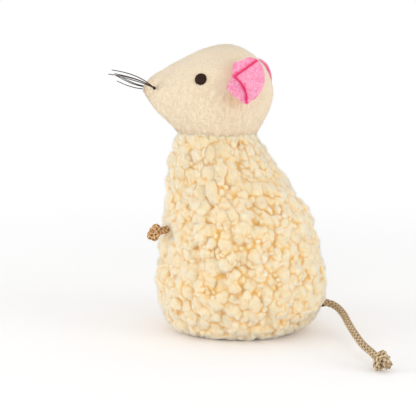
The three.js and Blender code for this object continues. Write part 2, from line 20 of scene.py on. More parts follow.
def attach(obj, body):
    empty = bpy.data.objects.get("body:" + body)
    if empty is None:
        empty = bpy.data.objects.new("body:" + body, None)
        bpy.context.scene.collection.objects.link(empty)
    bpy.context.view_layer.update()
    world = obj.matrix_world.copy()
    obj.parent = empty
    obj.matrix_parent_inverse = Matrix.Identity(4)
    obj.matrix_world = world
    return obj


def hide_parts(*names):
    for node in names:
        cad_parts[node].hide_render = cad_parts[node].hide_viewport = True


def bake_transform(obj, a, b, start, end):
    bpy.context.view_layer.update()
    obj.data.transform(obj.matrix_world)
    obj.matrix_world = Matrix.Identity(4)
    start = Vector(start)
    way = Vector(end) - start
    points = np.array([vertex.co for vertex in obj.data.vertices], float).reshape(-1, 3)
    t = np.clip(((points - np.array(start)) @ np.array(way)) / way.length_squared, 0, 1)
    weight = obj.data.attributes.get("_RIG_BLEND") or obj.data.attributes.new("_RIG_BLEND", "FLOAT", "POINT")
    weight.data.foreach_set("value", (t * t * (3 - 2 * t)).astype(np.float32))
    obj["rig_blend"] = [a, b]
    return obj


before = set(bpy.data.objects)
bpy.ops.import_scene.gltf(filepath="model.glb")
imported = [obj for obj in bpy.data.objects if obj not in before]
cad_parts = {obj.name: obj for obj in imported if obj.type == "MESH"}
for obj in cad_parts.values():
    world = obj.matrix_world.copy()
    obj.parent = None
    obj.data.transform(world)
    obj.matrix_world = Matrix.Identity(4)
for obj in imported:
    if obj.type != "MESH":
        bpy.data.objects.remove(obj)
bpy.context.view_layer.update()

LOG = logging.getLogger("catnip_mouse")
MM = 0.001
Array = np.ndarray
Mapper = Callable[[Array, Array], Array]
Pair = tuple[float, float]
Triple = tuple[float, float, float]
Pairs = tuple[Pair, ...]
Triples = tuple[Triple, ...]
Colour = tuple[float, float, float, float]
Surface = tuple[bpy.types.NodeSocket, bpy.types.NodeSocket, float]
WHITE: Colour = (1.0, 1.0, 1.0, 1.0)


class Side(Enum):
    """Side of the mouse that a piece sits on; the value is the sign of its X."""

    LEFT = 1.0
    RIGHT = -1.0

    def place(self, points: Array) -> Array:
        """Gives points of the left side on this side."""
        return np.asarray(points, float) * (self.value, 1.0, 1.0)


class Shade(Enum):
    """Names of the vertex values that the finishes read."""

    # Painted light and shade of the fleece: high on the curls' tops, low between them.
    CURL = "curl"
    # Painted shade in the creases, dimples and seams of the head and ears, and on the ears' backs.
    CREASE = "crease"
    # Each yarn's tone, with painted shade where a braid writes it.
    YARN = "yarn"
    LEAF = "leaf"


class Socket(Enum):
    """Kinds of sockets that the shared node groups have."""

    VECTOR = "NodeSocketVector"
    VALUE = "NodeSocketFloat"
    COLOUR = "NodeSocketColor"


# Curves and numbers


def paint(red: float, green: float, blue: float) -> Colour:
    """Turns a colour written as on a screen, 0 to 255, into a shader colour.

    Args:
        red: Red share.
        green: Green share.
        blue: Blue share.

    Returns:
        The linear colour with full alpha.
    """
    def linear(c: float) -> float:
        """Gives one linear channel."""
        s = c / 255.0
        return s / 12.92 if s <= 0.04045 else ((s + 0.055) / 1.055) ** 2.4

    return linear(red), linear(green), linear(blue), 1.0


def unit(vectors: Array) -> Array:
    """Gives vectors of length one."""
    v = np.asarray(vectors, float)
    return v / np.maximum(np.linalg.norm(v, axis=-1, keepdims=True), 1e-12)


def ease(low: float, high: float, value: Array) -> Array:
    """Rises smoothly from 0 at low to 1 at high."""
    t = np.clip((value - low) / (high - low), 0.0, 1.0)
    return t * t * (3.0 - 2.0 * t)


def bell(apart: Array, width: Array | float) -> Array:
    """Falls smoothly from 1 at no distance to nearly 0 at twice a width."""
    return np.exp(-((apart / width) ** 2))


def spline(points: Array, share: Array) -> Array:
    """Reads a smooth curve through points that are evenly spaced in its share.

    Args:
        points: Points of the curve, one row each.
        share: Places along it, from 0 to 1.

    Returns:
        One row for each place.
    """
    last = len(points) - 1
    place = np.clip(share, 0.0, 1.0) * last
    i = np.minimum(place.astype(int), last - 1)
    t = (place - i)[:, None]
    before, a, b, after = (points[np.clip(i + k, 0, last)] for k in (-1, 0, 1, 2))
    va, vb = (b - before) / 2, (after - a) / 2
    return ((2 * a - 2 * b + va + vb) * t - 3 * a + 3 * b - 2 * va - vb) * t * t + va * t + a


def route(points: Array, count: int, closed: bool = False) -> Array:
    """Lays a smooth line through given points, slower where they crowd.

    Args:
        points: Points that the line passes.
        count: How many evenly spaced points to return.
        closed: Whether the line joins its own start.

    Returns:
        Points along the line; a closed line doesn't repeat its first one.
    """
    p = np.asarray(points, float)
    if closed:
        p = np.vstack([p[-1:], p, p[:2]])
    else:
        p = np.vstack([2 * p[0] - p[1], p, 2 * p[-1] - p[-2]])
    fine = []
    for a, b, c, d in zip(p, p[1:], p[2:], p[3:]):
        da, db, dc = (max(np.linalg.norm(y - x), 1e-4) ** 0.5 for x, y in ((a, b), (b, c), (c, d)))
        ta = ((b - a) / da - (c - a) / (da + db) + (c - b) / db) * db
        tb = ((c - b) / db - (d - b) / (db + dc) + (d - c) / dc) * db
        t = np.linspace(0, 1, 24, endpoint=False)[:, None]
        fine.append(b + ta * t + (3 * c - 3 * b - 2 * ta - tb) * t**2 + (2 * b - 2 * c + ta + tb) * t**3)
    line = np.vstack([*fine, p[-2:-1]])
    along = np.concatenate([[0], np.cumsum(np.linalg.norm(np.diff(line, axis=0), axis=1))])
    at = np.linspace(0, along[-1], count, endpoint=not closed)
    return np.stack([np.interp(at, along, line[:, k]) for k in range(p.shape[1])], axis=1)


def carried_frames(line: Array) -> tuple[Array, Array, Array]:
    """Carries a cross direction along a line without twisting it.

    Args:
        line: Points of the line.

    Returns:
        The line's direction and two directions across it at each point.
    """
    way = unit(np.gradient(line, axis=0))
    first = np.cross(way[0], (0.0, 0.0, 1.0))
    if np.linalg.norm(first) < 0.1:
        first = np.cross(way[0], (0.0, 1.0, 0.0))
    across = [unit(first)]
    for w in way[1:]:
        across.append(unit(across[-1] - w * np.dot(across[-1], w)))
    across = np.array(across)
    return way, across, np.cross(way, across)


def noise_at(points: Array, size: float, seed: int) -> Array:
    """Reads smooth noise at points.

    Args:
        points: Places in millimetres.
        size: Size of the noise's patches in millimetres.
        seed: Moves the noise, so that each use differs.

    Returns:
        A value from about -1 to 1 for each point.
    """
    shift = Vector((seed * 7.31, seed * 3.17, seed * 5.83))
    return np.array([noise.noise(Vector(p) + shift) for p in points / size])


def polyline_distance(points: Array, line: Array) -> Array:
    """Measures points from a line of straight stretches, in any number of axes.

    Args:
        points: Points to measure from.
        line: Points that the stretches run through.

    Returns:
        A distance for each point.
    """
    best = np.full(len(points), 1e9)
    for a, b in zip(line, line[1:]):
        way = b - a
        t = np.clip(((points - a) @ way) / np.dot(way, way), 0, 1)
        best = np.minimum(best, np.linalg.norm(points - a - t[:, None] * way, axis=1))
    return best


def finder(points: Array) -> kdtree.KDTree:
    """Sorts points for finding the nearest ones.

    Args:
        points: The points.

    Returns:
        A finder, which numbers the points as given.
    """
    tree = kdtree.KDTree(len(points))
    for i, point in enumerate(points):
        tree.insert(point, i)
    tree.balance()
    return tree


# Meshes


def mapped_grid(bm: bmesh.types.BMesh, cols: int, rows: int, lay: Mapper) -> list[bmesh.types.BMVert]:
    """Adds a grid to a mesh and lays it on a surface.

    Args:
        bm: Mesh that the grid goes into.
        cols: Faces across.
        rows: Faces along.
        lay: Gives a point in millimetres for each pair of shares across and along.

    Returns:
        The vertices of the grid.
    """
    made = bmesh.ops.create_grid(bm, x_segments=cols, y_segments=rows, size=1.0)["verts"]
    flat = np.array([v.co[:2] for v in made])
    low, high = flat.min(axis=0), flat.max(axis=0)
    share = (flat - low) / (high - low)
    for vert, point in zip(made, lay(share[:, 0], share[:, 1]) * MM):
        vert.co = point
    return made


def add_tube(
    bm: bmesh.types.BMesh, line: Array, up: Array, wide: Array, thick: Array, sides: int
) -> list[bmesh.types.BMVert]:
    """Adds a closed tube of oval section with flat ends.

    Args:
        bm: Mesh that the tube goes into.
        line: Middle line in millimetres.
        up: Direction of the section's thickness at each point.
        wide: Half width of the section at each point.
        thick: Half thickness of the section at each point.
        sides: Faces round the section.

    Returns:
        The vertices of the tube.
    """
    way = unit(np.gradient(line, axis=0))
    across = unit(np.cross(way, up))
    lift = np.cross(across, way)
    rows = np.clip(np.arange(-1, len(line) + 1), 0, len(line) - 1)
    full = np.ones(len(rows))
    full[[0, -1]] = 0.0

    def lay(u: Array, v: Array) -> Array:
        """Lays the tube.

        Args:
            u: Shares round.
            v: Shares along.

        Returns:
            Points of the tube.
        """
        k = np.rint(v * (len(rows) - 1)).astype(int)
        i, turn = rows[k], 2 * np.pi * u
        flat = across[i] * (wide[i] * np.cos(turn))[:, None]
        return line[i] + (flat + lift[i] * (thick[i] * np.sin(turn))[:, None]) * full[k][:, None]

    return mapped_grid(bm, sides, len(rows) - 1, lay)


def ring_wall(bm: bmesh.types.BMesh, rings: Sequence[Array], steps: int) -> None:
    """Adds a wall that runs through rings of equally many points.

    Args:
        bm: Mesh that the wall goes into.
        rings: Rings in millimetres, from one end of the wall to the other.
        steps: Faces from one ring to the next.
    """
    stack = np.array(rings)
    count, last = stack.shape[1], len(stack) - 1

    def lay(u: Array, v: Array) -> Array:
        """Lays the wall.

        Args:
            u: Shares round.
            v: Shares through the rings.

        Returns:
            Points of the wall.
        """
        k = np.rint(u * count).astype(int) % count
        row = np.rint(v * last * steps) / steps
        i = np.minimum(row.astype(int), last - 1)
        t = (row - i)[:, None]
        return stack[i, k] * (1 - t) + stack[i + 1, k] * t

    mapped_grid(bm, count, last * steps, lay)


def mapped_ball(bm: bmesh.types.BMesh, segments: int, rings: int, lay: Callable[[Array], Array]) -> None:
    """Adds a ball to a mesh and lays it on a surface.

    Args:
        bm: Mesh that the ball goes into.
        segments: Faces round the ball.
        rings: Faces from pole to pole.
        lay: Gives points in millimetres for points on a ball of radius one.
    """
    made = bmesh.ops.create_uvsphere(bm, u_segments=segments, v_segments=rings, radius=1.0)["verts"]
    ball = np.array([v.co[:] for v in made])
    for vert, point in zip(made, lay(ball) * MM):
        vert.co = point


def rounded_box(half_x: float, y0: float, y1: float, corner: float, count: int) -> Array:
    """Gives the outline of a box with round corners, evenly numbered by angle from -Y towards +X.

    Args:
        half_x: Half width.
        y0: Front edge.
        y1: Back edge.
        corner: Radius of the corners.
        count: How many points to give.

    Returns:
        Points of x and y.
    """
    angle = 2 * np.pi * np.arange(count) / count
    way = np.column_stack([np.sin(angle), -np.cos(angle)])
    half = np.array([half_x, (y1 - y0) / 2])
    reach = 1.0 / np.maximum(np.abs(way / half), 1e-9).max(axis=1)
    box = way * reach[:, None]
    inner = np.clip(box, -half + corner, half - corner)
    off = box - inner
    rim = inner + unit(off + 1e-9) * np.minimum(corner, np.linalg.norm(off, axis=1))[:, None]
    return rim + (0.0, (y0 + y1) / 2)


def lifted(flat: Array, z: float) -> Array:
    """Gives an outline of x and y at a height."""
    return np.column_stack([flat, np.full(len(flat), z)])


def weld(bm: bmesh.types.BMesh) -> None:
    """Merges the seams and poles of mapped grids and turns the faces outwards."""
    bmesh.ops.remove_doubles(bm, verts=bm.verts[:], dist=2e-6)
    bmesh.ops.recalc_face_normals(bm, faces=bm.faces[:])


def new_mesh(*shades: Shade) -> bmesh.types.BMesh:
    """Starts a mesh that carries vertex values.

    Args:
        *shades: Names of the values.

    Returns:
        The empty mesh.
    """
    bm = bmesh.new()
    for shade in shades:
        bm.verts.layers.float.new(shade.value)
    return bm


def tinted(bm: bmesh.types.BMesh, verts: Sequence[bmesh.types.BMVert], shade: Shade, values: Array) -> None:
    """Writes a vertex value for a finish to read.

    Args:
        bm: Mesh that carries the value.
        verts: Vertices to write on.
        shade: Name of the value.
        values: One value for each vertex, or the same one for all.
    """
    layer = bm.verts.layers.float[shade.value]
    for vert, value in zip(verts, np.broadcast_to(values, len(verts))):
        vert[layer] = float(value)


def dressed(mesh: bpy.types.Mesh, name: str, finish: "Finish") -> bpy.types.Object:
    """Makes a named object of a mesh, shaded as one surface, with its finish.

    Args:
        mesh: Finished mesh.
        name: Name of the piece.
        finish: Finish that dresses it.

    Returns:
        The object, at the origin.
    """
    mesh.polygons.foreach_set("use_smooth", [True] * len(mesh.polygons))
    mesh.materials.append(finish.material())
    obj = bpy.data.objects.new(name, mesh)
    bpy.context.scene.collection.objects.link(obj)
    return obj


def make_piece(bm: bmesh.types.BMesh, name: str, finish: "Finish") -> bpy.types.Object:
    """Turns what was modelled into a named object with its finish.

    Args:
        bm: Finished mesh, which is freed.
        name: Name of the piece.
        finish: Finish that dresses it.

    Returns:
        The object, at the origin.
    """
    mesh = bpy.data.meshes.new(name)
    bm.to_mesh(mesh)
    bm.free()
    return dressed(mesh, name, finish)


def points_of(obj: bpy.types.Object) -> Array:
    """Reads an object's points.

    Args:
        obj: The object.

    Returns:
        Its points in millimetres.
    """
    flat = np.zeros(len(obj.data.vertices) * 3)
    obj.data.vertices.foreach_get("co", flat)
    return flat.reshape(-1, 3) / MM


def normals_of(obj: bpy.types.Object) -> Array:
    """Gives the outward direction at each of an object's points."""
    return np.array([v.normal[:] for v in obj.data.vertices])


def move_points(obj: bpy.types.Object, points: Array) -> None:
    """Moves an object's points to places in millimetres."""
    obj.data.vertices.foreach_set("co", (points * MM).ravel())
    obj.data.update()


def write_shade(obj: bpy.types.Object, shade: Shade, values: Array) -> None:
    """Writes a value at each of an object's points for its finish to read."""
    layer = obj.data.attributes.new(shade.value, "FLOAT", "POINT")
    layer.data.foreach_set("value", np.asarray(values, np.float32))


def settle(obj: bpy.types.Object, body: str, slot: str, *nodes: str) -> bpy.types.Object:
    """Seats a finished piece on a body and hides the solids that it stands for.

    Args:
        obj: The piece.
        body: Body that it moves with.
        slot: Material slot of the record; not used.
        *nodes: Solids that it replaces.

    Returns:
        The piece.
    """
    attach(obj, body)
    if nodes:
        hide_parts(*nodes)
    LOG.info("%s rides on %s with %d faces", obj.name, body, len(obj.data.polygons))
    return obj


# Finishes


class NodeBench:
    """Places nodes in one tree and joins them."""

    def __init__(self, tree: bpy.types.NodeTree) -> None:
        """Takes the tree to work in."""
        self.tree = tree

    def add(
        self, kind: str, inputs: dict[str | int, object] | None = None, **settings: object
    ) -> bpy.types.Node:
        """Adds a node.

        Args:
            kind: Type name of the node.
            inputs: Values or sockets by input name or number.
            **settings: Properties of the node.

        Returns:
            The node.
        """
        node = self.tree.nodes.new(kind)
        for name, value in settings.items():
            setattr(node, name, value)
        for key, value in (inputs or {}).items():
            if isinstance(value, bpy.types.NodeSocket):
                self.tree.links.new(value, node.inputs[key])
            else:
                node.inputs[key].default_value = value
        return node

    def math(self, operation: str, a: object, b: object = 0.0, clamp: bool = False) -> bpy.types.NodeSocket:
        """Adds a sum of one or two values and gives its result."""
        return self.add("ShaderNodeMath", {0: a, 1: b}, operation=operation, use_clamp=clamp).outputs[0]

    def mix(self, share: object, a: object, b: object) -> bpy.types.NodeSocket:
        """Adds a mix of two colours and gives its result."""
        return self.add("ShaderNodeMix", {0: share, 6: a, 7: b}, data_type="RGBA").outputs[2]

    def ramp(self, value: object, low: float, high: float) -> bpy.types.NodeSocket:
        """Adds a smooth rise from 0 at low to 1 at high and gives its result."""
        node = self.add("ShaderNodeMapRange", {0: value, 1: low, 2: high}, interpolation_type="SMOOTHSTEP")
        return node.outputs[0]

    def shade(self, shade: Shade) -> bpy.types.NodeSocket:
        """Adds a reading of a vertex value and gives it."""
        return self.add("ShaderNodeAttribute", attribute_name=shade.value).outputs["Fac"]

    def group(self, tree: bpy.types.NodeTree, *values: object) -> Sequence[bpy.types.NodeSocket]:
        """Adds a shared group with values or sockets for its inputs and gives its outputs."""
        return self.add("ShaderNodeGroup", dict(enumerate(values)), node_tree=tree).outputs

    def place(self) -> bpy.types.NodeSocket:
        """Adds the piece's own coordinates and gives them."""
        return self.add("ShaderNodeTexCoord").outputs["Object"]


class Groups:
    """Node groups that several finishes share, built when first asked for."""

    @staticmethod
    def start(
        name: str, inputs: dict[str, Socket], outputs: dict[str, Socket]
    ) -> tuple[bpy.types.NodeTree, NodeBench]:
        """Starts a group.

        Args:
            name: Name of the group.
            inputs: Kinds of sockets by input name.
            outputs: Kinds of sockets by output name.

        Returns:
            The group and a bench to fill it with.
        """
        tree = bpy.data.node_groups.new(name, "ShaderNodeTree")
        for label, kind in inputs.items():
            tree.interface.new_socket(label, in_out="INPUT", socket_type=kind.value)
        for label, kind in outputs.items():
            tree.interface.new_socket(label, in_out="OUTPUT", socket_type=kind.value)
        return tree, NodeBench(tree)

    @classmethod
    def mottle(cls) -> bpy.types.NodeTree:
        """Colour that drifts between two dyes in soft patches of a given size.

        Returns:
            The group.
        """
        if "dye_mottle" in bpy.data.node_groups:
            return bpy.data.node_groups["dye_mottle"]
        kinds = {
            "Vector": Socket.VECTOR, "Fineness": Socket.VALUE,
            "Colour": Socket.COLOUR, "Other": Socket.COLOUR,
        }
        tree, bench = cls.start("dye_mottle", kinds, {"Colour": Socket.COLOUR})
        inp = bench.add("NodeGroupInput").outputs
        cloud = bench.add(
            "ShaderNodeTexNoise", {"Vector": inp[0], "Scale": inp[1], "Detail": 3.0, "Roughness": 0.6}
        )
        mask = bench.ramp(cloud.outputs["Fac"], 0.32, 0.68)
        bench.add("NodeGroupOutput", {0: bench.mix(mask, inp[2], inp[3])})
        return tree

    @classmethod
    def nap(cls) -> bpy.types.NodeTree:
        """Height of matted fibres: a coarse and a fine layer of twisted noise.

        Returns:
            The group.
        """
        if "fibre_nap" in bpy.data.node_groups:
            return bpy.data.node_groups["fibre_nap"]
        kinds = {"Vector": Socket.VECTOR, "Fineness": Socket.VALUE}
        tree, bench = cls.start("fibre_nap", kinds, {"Height": Socket.VALUE, "Mask": Socket.VALUE})
        inp = bench.add("NodeGroupInput").outputs
        coarse = bench.add(
            "ShaderNodeTexNoise",
            {"Vector": inp[0], "Scale": inp[1], "Detail": 4.0, "Roughness": 0.65, "Distortion": 1.6},
        )
        fine = bench.add(
            "ShaderNodeTexNoise",
            {
                "Vector": inp[0], "Scale": bench.math("MULTIPLY", inp[1], 3.1), "Detail": 3.0,
                "Distortion": 2.4,
            },
        )
        height = bench.math("ADD", coarse.outputs["Fac"], bench.math("MULTIPLY", fine.outputs["Fac"], 0.55))
        bench.add("NodeGroupOutput", {0: height, 1: bench.ramp(fine.outputs["Fac"], 0.35, 0.65)})
        return tree

    @classmethod
    def weave(cls) -> bpy.types.NodeTree:
        """Height and gaps of a plain weave that lies across X and Y.

        Returns:
            The group.
        """
        if "plain_weave" in bpy.data.node_groups:
            return bpy.data.node_groups["plain_weave"]
        kinds = {"Vector": Socket.VECTOR, "Threads": Socket.VALUE}
        tree, bench = cls.start("plain_weave", kinds, {"Height": Socket.VALUE, "Mask": Socket.VALUE})
        inp = bench.add("NodeGroupInput").outputs
        axes = bench.add("ShaderNodeSeparateXYZ", {0: inp[0]}).outputs
        waves = [bench.math("SINE", bench.math("MULTIPLY", axes[k], inp[1])) for k in (0, 1)]
        over = bench.math("MULTIPLY", waves[0], waves[1])
        height = bench.math("ADD", bench.math("MULTIPLY", over, 0.5), 0.5)
        gap = bench.math("MULTIPLY", bench.math("ABSOLUTE", waves[0]), bench.math("ABSOLUTE", waves[1]))
        bench.add("NodeGroupOutput", {0: height, 1: bench.ramp(gap, 0.02, 0.35)})
        return tree


@dataclass(frozen=True)
class Finish:
    """A finish: its name, how rough it is and how much nap stands on it."""

    name: str
    roughness: float = 0.9
    sheen: float = 0.3
    glow: float = 0.0
    glow_depth: float = 1.0

    def material(self) -> bpy.types.Material:
        """Makes the finish's material when it is first asked for.

        Returns:
            The material.
        """
        label = f"{self.name}_finish"
        made = bpy.data.materials.get(label)
        if made is None:
            made = bpy.data.materials.new(label)
            made.use_nodes = True
            made.node_tree.nodes.clear()
            bench = NodeBench(made.node_tree)
            shader = bench.add("ShaderNodeBsdfPrincipled", self.constants())
            colour, height, depth = self.surface(bench)
            made.node_tree.links.new(colour, shader.inputs["Base Color"])
            bump = bench.add("ShaderNodeBump", {"Height": height, "Strength": 1.0, "Distance": depth * MM})
            made.node_tree.links.new(bump.outputs[0], shader.inputs["Normal"])
            bench.add("ShaderNodeOutputMaterial", {0: shader.outputs[0]})
        return made

    def constants(self) -> dict[str, object]:
        """Lists the values that are the same all over the surface.

        Returns:
            Values by socket name.
        """
        return {
            "Roughness": self.roughness,
            "Specular IOR Level": 0.2,
            "Sheen Weight": self.sheen,
            "Sheen Roughness": 0.5,
            "Subsurface Weight": self.glow,
            "Subsurface Radius": (1.0, 0.93, 0.8),
            "Subsurface Scale": self.glow_depth * MM,
        }

    def surface(self, bench: NodeBench) -> Surface:
        """Builds the finish's colour and height.

        Args:
            bench: Bench on the material's tree.

        Returns:
            The colour, the height and the height's depth in millimetres.
        """
        raise NotImplementedError


@dataclass(frozen=True)
class FleeceFinish(Finish):
    """Cream fleece with painted light and shade: lighter on the curls' tops, deepening to ochre between the
    curls.
    """

    # top and side are the dye's two tones that drift in patches; on the curls they also paint light on the
    # tops and shade on the sides. deep is the painted ochre shade between the curls.
    top: Colour = paint(255, 237, 214)
    side: Colour = paint(255, 228, 190)
    deep: Colour = paint(246, 197, 105)
    patch: float = 6.25
    fibre: float = 1.0
    # Share of painted ochre shade that goes into the nap's hollows.
    nap_hollow_shade: float = 0.26
    depth: float = 0.45

    def surface(self, bench: NodeBench) -> Surface:
        """Builds the fleece's colour from the curls' height, with painted light on their tops and painted
        ochre shade between them and in the nap's hollows, and a woolly nap.

        Args:
            bench: Bench on the material's tree.

        Returns:
            The colour, the height and the height's depth in millimetres.
        """
        place, curl = bench.place(), bench.shade(Shade.CURL)
        dye = bench.group(Groups.mottle(), place, 1.0 / (self.patch * MM), self.top, self.side)[0]
        height = bench.group(Groups.nap(), place, 1.0 / (self.fibre * MM))[0]
        # Painted light and shade: points low on the curls take side, the tops take the mottled dye.
        worn_and_shaded = bench.mix(bench.ramp(curl, 0.3, 1.0), self.side, dye)
        # Painted ochre shade between the curls, where the shading value is low.
        colour = bench.mix(bench.ramp(curl, 0.0, 0.6), self.deep, worn_and_shaded)
        # Painted shade: the nap's hollows lean towards the ochre shade colour.
        fleck_and_nap_shade = bench.math("MULTIPLY", bench.ramp(height, 0.92, 0.62), self.nap_hollow_shade)
        return bench.mix(fleck_and_nap_shade, colour, self.deep), height, self.depth


@dataclass(frozen=True)
class ClothFinish(Finish):
    """Dyed cloth with a nap: plush, felt, filling or lining."""

    colour: Colour = paint(240, 221, 193)
    other: Colour = paint(233, 211, 178)
    # deep is the colour of the painted shade in creases.
    deep: Colour = paint(214, 180, 135)
    patch: float = 3.0
    fibre: float = 0.5
    depth: float = 0.12

    def surface(self, bench: NodeBench) -> Surface:
        """Builds mottled cloth with painted shade in its creases, with a nap.

        Args:
            bench: Bench on the material's tree.

        Returns:
            The colour, the height and the height's depth in millimetres.
        """
        place = bench.place()
        dye = bench.group(Groups.mottle(), place, 1.0 / (self.patch * MM), self.colour, self.other)[0]
        height, mask = bench.group(Groups.nap(), place, 1.0 / (self.fibre * MM))
        fleck_and_nap_shade = bench.mix(bench.math("MULTIPLY", mask, 0.35), dye, self.other)
        # Painted shade: the creases' shading value darkens the cloth towards deep.
        return bench.mix(bench.shade(Shade.CREASE), fleck_and_nap_shade, self.deep), height, self.depth


@dataclass(frozen=True)
class PlushFinish(ClothFinish):
    """Short plush with fine upright wrinkles in its pile towards the neck, whose dents carry painted shade.
    """

    # Colour of the painted shade in the wrinkles' dents.
    wrinkle_shade_colour: Colour = paint(218, 192, 152)
    wrinkle: float = 0.75
    drawn: Triple = (1.0, 1.0, 0.4)
    dent_depth: float = 0.9
    dent_shade: float = 0.32
    crushed_below: float = 82.0
    smooth_above: float = 100.0

    def surface(self, bench: NodeBench) -> Surface:
        """Builds the napped cloth and lays the wrinkles over it, with painted shade in their dents.

        Args:
            bench: Bench on the material's tree.

        Returns:
            The colour, the height and the height's depth in millimetres.
        """
        colour, height, depth = super().surface(bench)
        place = bench.place()
        drawn = bench.add("ShaderNodeVectorMath", {0: place, 1: self.drawn}, operation="MULTIPLY")
        folds = bench.add(
            "ShaderNodeTexNoise",
            {
                "Vector": drawn.outputs[0], "Scale": 1.0 / (self.wrinkle * MM), "Detail": 2.0,
                "Distortion": 0.8,
            },
        ).outputs["Fac"]
        level = bench.add("ShaderNodeSeparateXYZ", {0: place}).outputs[2]
        share = bench.ramp(level, self.smooth_above * MM, self.crushed_below * MM)
        share = bench.math("ADD", bench.math("MULTIPLY", share, 0.8), 0.2)
        dent = bench.math("MULTIPLY", bench.ramp(folds, 0.52, 0.36), share)
        lowered = bench.math("SUBTRACT", height, bench.math("MULTIPLY", dent, self.dent_depth))
        # Painted shade: the wrinkles' dents are darkened towards the shade colour.
        dent_shading = bench.math("MULTIPLY", dent, self.dent_shade)
        return bench.mix(dent_shading, colour, self.wrinkle_shade_colour), lowered, depth


@dataclass(frozen=True)
class CordFinish(Finish):
    """Braided cord whose yarns differ in tone and carry painted shade from their vertex values, with fibres
    along them.
    """

    # pale and dark span a yarn's tone and its painted shade; gap is the painted dark shade between the yarns,
    # where the value is near 0.
    pale: Colour = paint(222, 200, 164)
    dark: Colour = paint(128, 98, 60)
    gap: Colour = paint(52, 36, 22)
    fineness: float = 2600.0
    depth: float = 0.1

    def surface(self, bench: NodeBench) -> Surface:
        """Builds the yarns' colour, painted shade included, and fibres.

        Args:
            bench: Bench on the material's tree.

        Returns:
            The colour, the height and the height's depth in millimetres.
        """
        height, mask = bench.group(Groups.nap(), bench.place(), self.fineness)
        yarn = bench.shade(Shade.YARN)
        streak = bench.math("MULTIPLY", bench.math("SUBTRACT", mask, 0.5), 0.5)
        shade = bench.math("ADD", yarn, streak, clamp=True)
        tone = bench.mix(bench.ramp(shade, 0.2, 0.85), self.dark, self.pale)
        return bench.mix(bench.ramp(yarn, 0.02, 0.2), self.gap, tone), height, self.depth


@dataclass(frozen=True)
class WovenFinish(Finish):
    """Plain woven cloth or tape."""

    colour: Colour = paint(240, 226, 198)
    gap: Colour = paint(206, 182, 140)
    thread: float = 0.45
    wear: float = 0.93
    fineness: float = 220.0
    depth: float = 0.12

    def surface(self, bench: NodeBench) -> Surface:
        """Builds the weave's colour and height.

        Args:
            bench: Bench on the material's tree.

        Returns:
            The colour, the height and the height's depth in millimetres.
        """
        place = bench.place()
        worn_and_shaded = tuple(self.wear * c for c in self.colour[:3]) + (1.0,)
        height, mask = bench.group(Groups.weave(), place, math.pi / (self.thread * MM))
        dye = bench.group(Groups.mottle(), place, self.fineness, self.colour, worn_and_shaded)[0]
        return bench.mix(mask, self.gap, dye), height, self.depth


@dataclass(frozen=True)
class HerbFinish(Finish):
    """Dried leaves and stems."""

    leaf: Colour = paint(112, 118, 66)
    stem: Colour = paint(186, 164, 104)
    fineness: float = 1400.0
    depth: float = 0.15

    def surface(self, bench: NodeBench) -> Surface:
        """Builds the leaves' colour from each flake's own shade.

        Args:
            bench: Bench on the material's tree.

        Returns:
            The colour, the height and the height's depth in millimetres.
        """
        height, mask = bench.group(Groups.nap(), bench.place(), self.fineness)
        speck = bench.math("MULTIPLY", bench.math("SUBTRACT", mask, 0.5), 0.4)
        shade = bench.math("ADD", bench.shade(Shade.LEAF), speck, clamp=True)
        return bench.mix(shade, self.leaf, self.stem), height, self.depth


class Finishes:
    """The finishes of the mouse."""

    FLEECE = FleeceFinish("sherpa_fleece", roughness=0.95, sheen=1.0, glow=1.0, glow_depth=1.9)
    # Loose fibres take the curls' shading value of their ground, with paler painted shade.
    FIBRE = FleeceFinish(
        "fleece_fibre", roughness=0.95, sheen=0.0, deep=paint(254, 238, 209), side=paint(255, 244, 222)
    )
    PLUSH = PlushFinish(
        "head_plush", roughness=0.92, sheen=0.35, glow=0.12, colour=paint(241, 225, 198),
        other=paint(232, 212, 182), patch=0.8, fibre=0.45, depth=0.2,
    )
    PLUSH_FUZZ = ClothFinish("plush_fibre", colour=paint(246, 230, 204), other=paint(240, 221, 190))
    # deep is the painted shade in the ears' folds and on their back faces.
    FELT = ClothFinish(
        "pink_felt", sheen=0.25, glow=0.1, glow_depth=0.8, colour=paint(240, 116, 160),
        other=paint(252, 178, 206), deep=paint(238, 36, 108), patch=0.9, fibre=0.35, depth=0.22,
    )
    EYE = CordFinish(
        "eye_thread", roughness=0.8, sheen=0.0,
        pale=paint(62, 40, 30), dark=paint(38, 21, 14), gap=paint(18, 9, 6),
    )
    WHISKER = CordFinish(
        "whisker_thread", roughness=0.6, sheen=0.0,
        pale=paint(74, 60, 52), dark=paint(42, 33, 28), gap=paint(30, 22, 18),
    )
    TAIL = CordFinish("pale_cord", roughness=0.85, sheen=0.15)
    PAW = CordFinish(
        "brown_cord", sheen=0.15, pale=paint(232, 192, 142), dark=paint(150, 104, 58), gap=paint(72, 44, 20)
    )
    BASE = WovenFinish("base_cloth", sheen=0.2)
    LINING = WovenFinish(
        "cotton_lining", sheen=0.2, colour=paint(238, 234, 226), gap=paint(200, 194, 182), thread=0.3
    )
    TAPE = WovenFinish(
        "hook_loop_tape", roughness=0.6, sheen=0.1,
        colour=paint(236, 232, 224), gap=paint(170, 164, 152), thread=0.35,
    )
    FILL = ClothFinish(
        "fibre_fill", roughness=0.95, sheen=0.4, colour=paint(244, 242, 236), other=paint(232, 229, 222),
        deep=paint(215, 212, 205), patch=2.0, fibre=0.3, depth=0.3,
    )
    HERB = HerbFinish("catnip", sheen=0.1)


# Forms shared with the solids


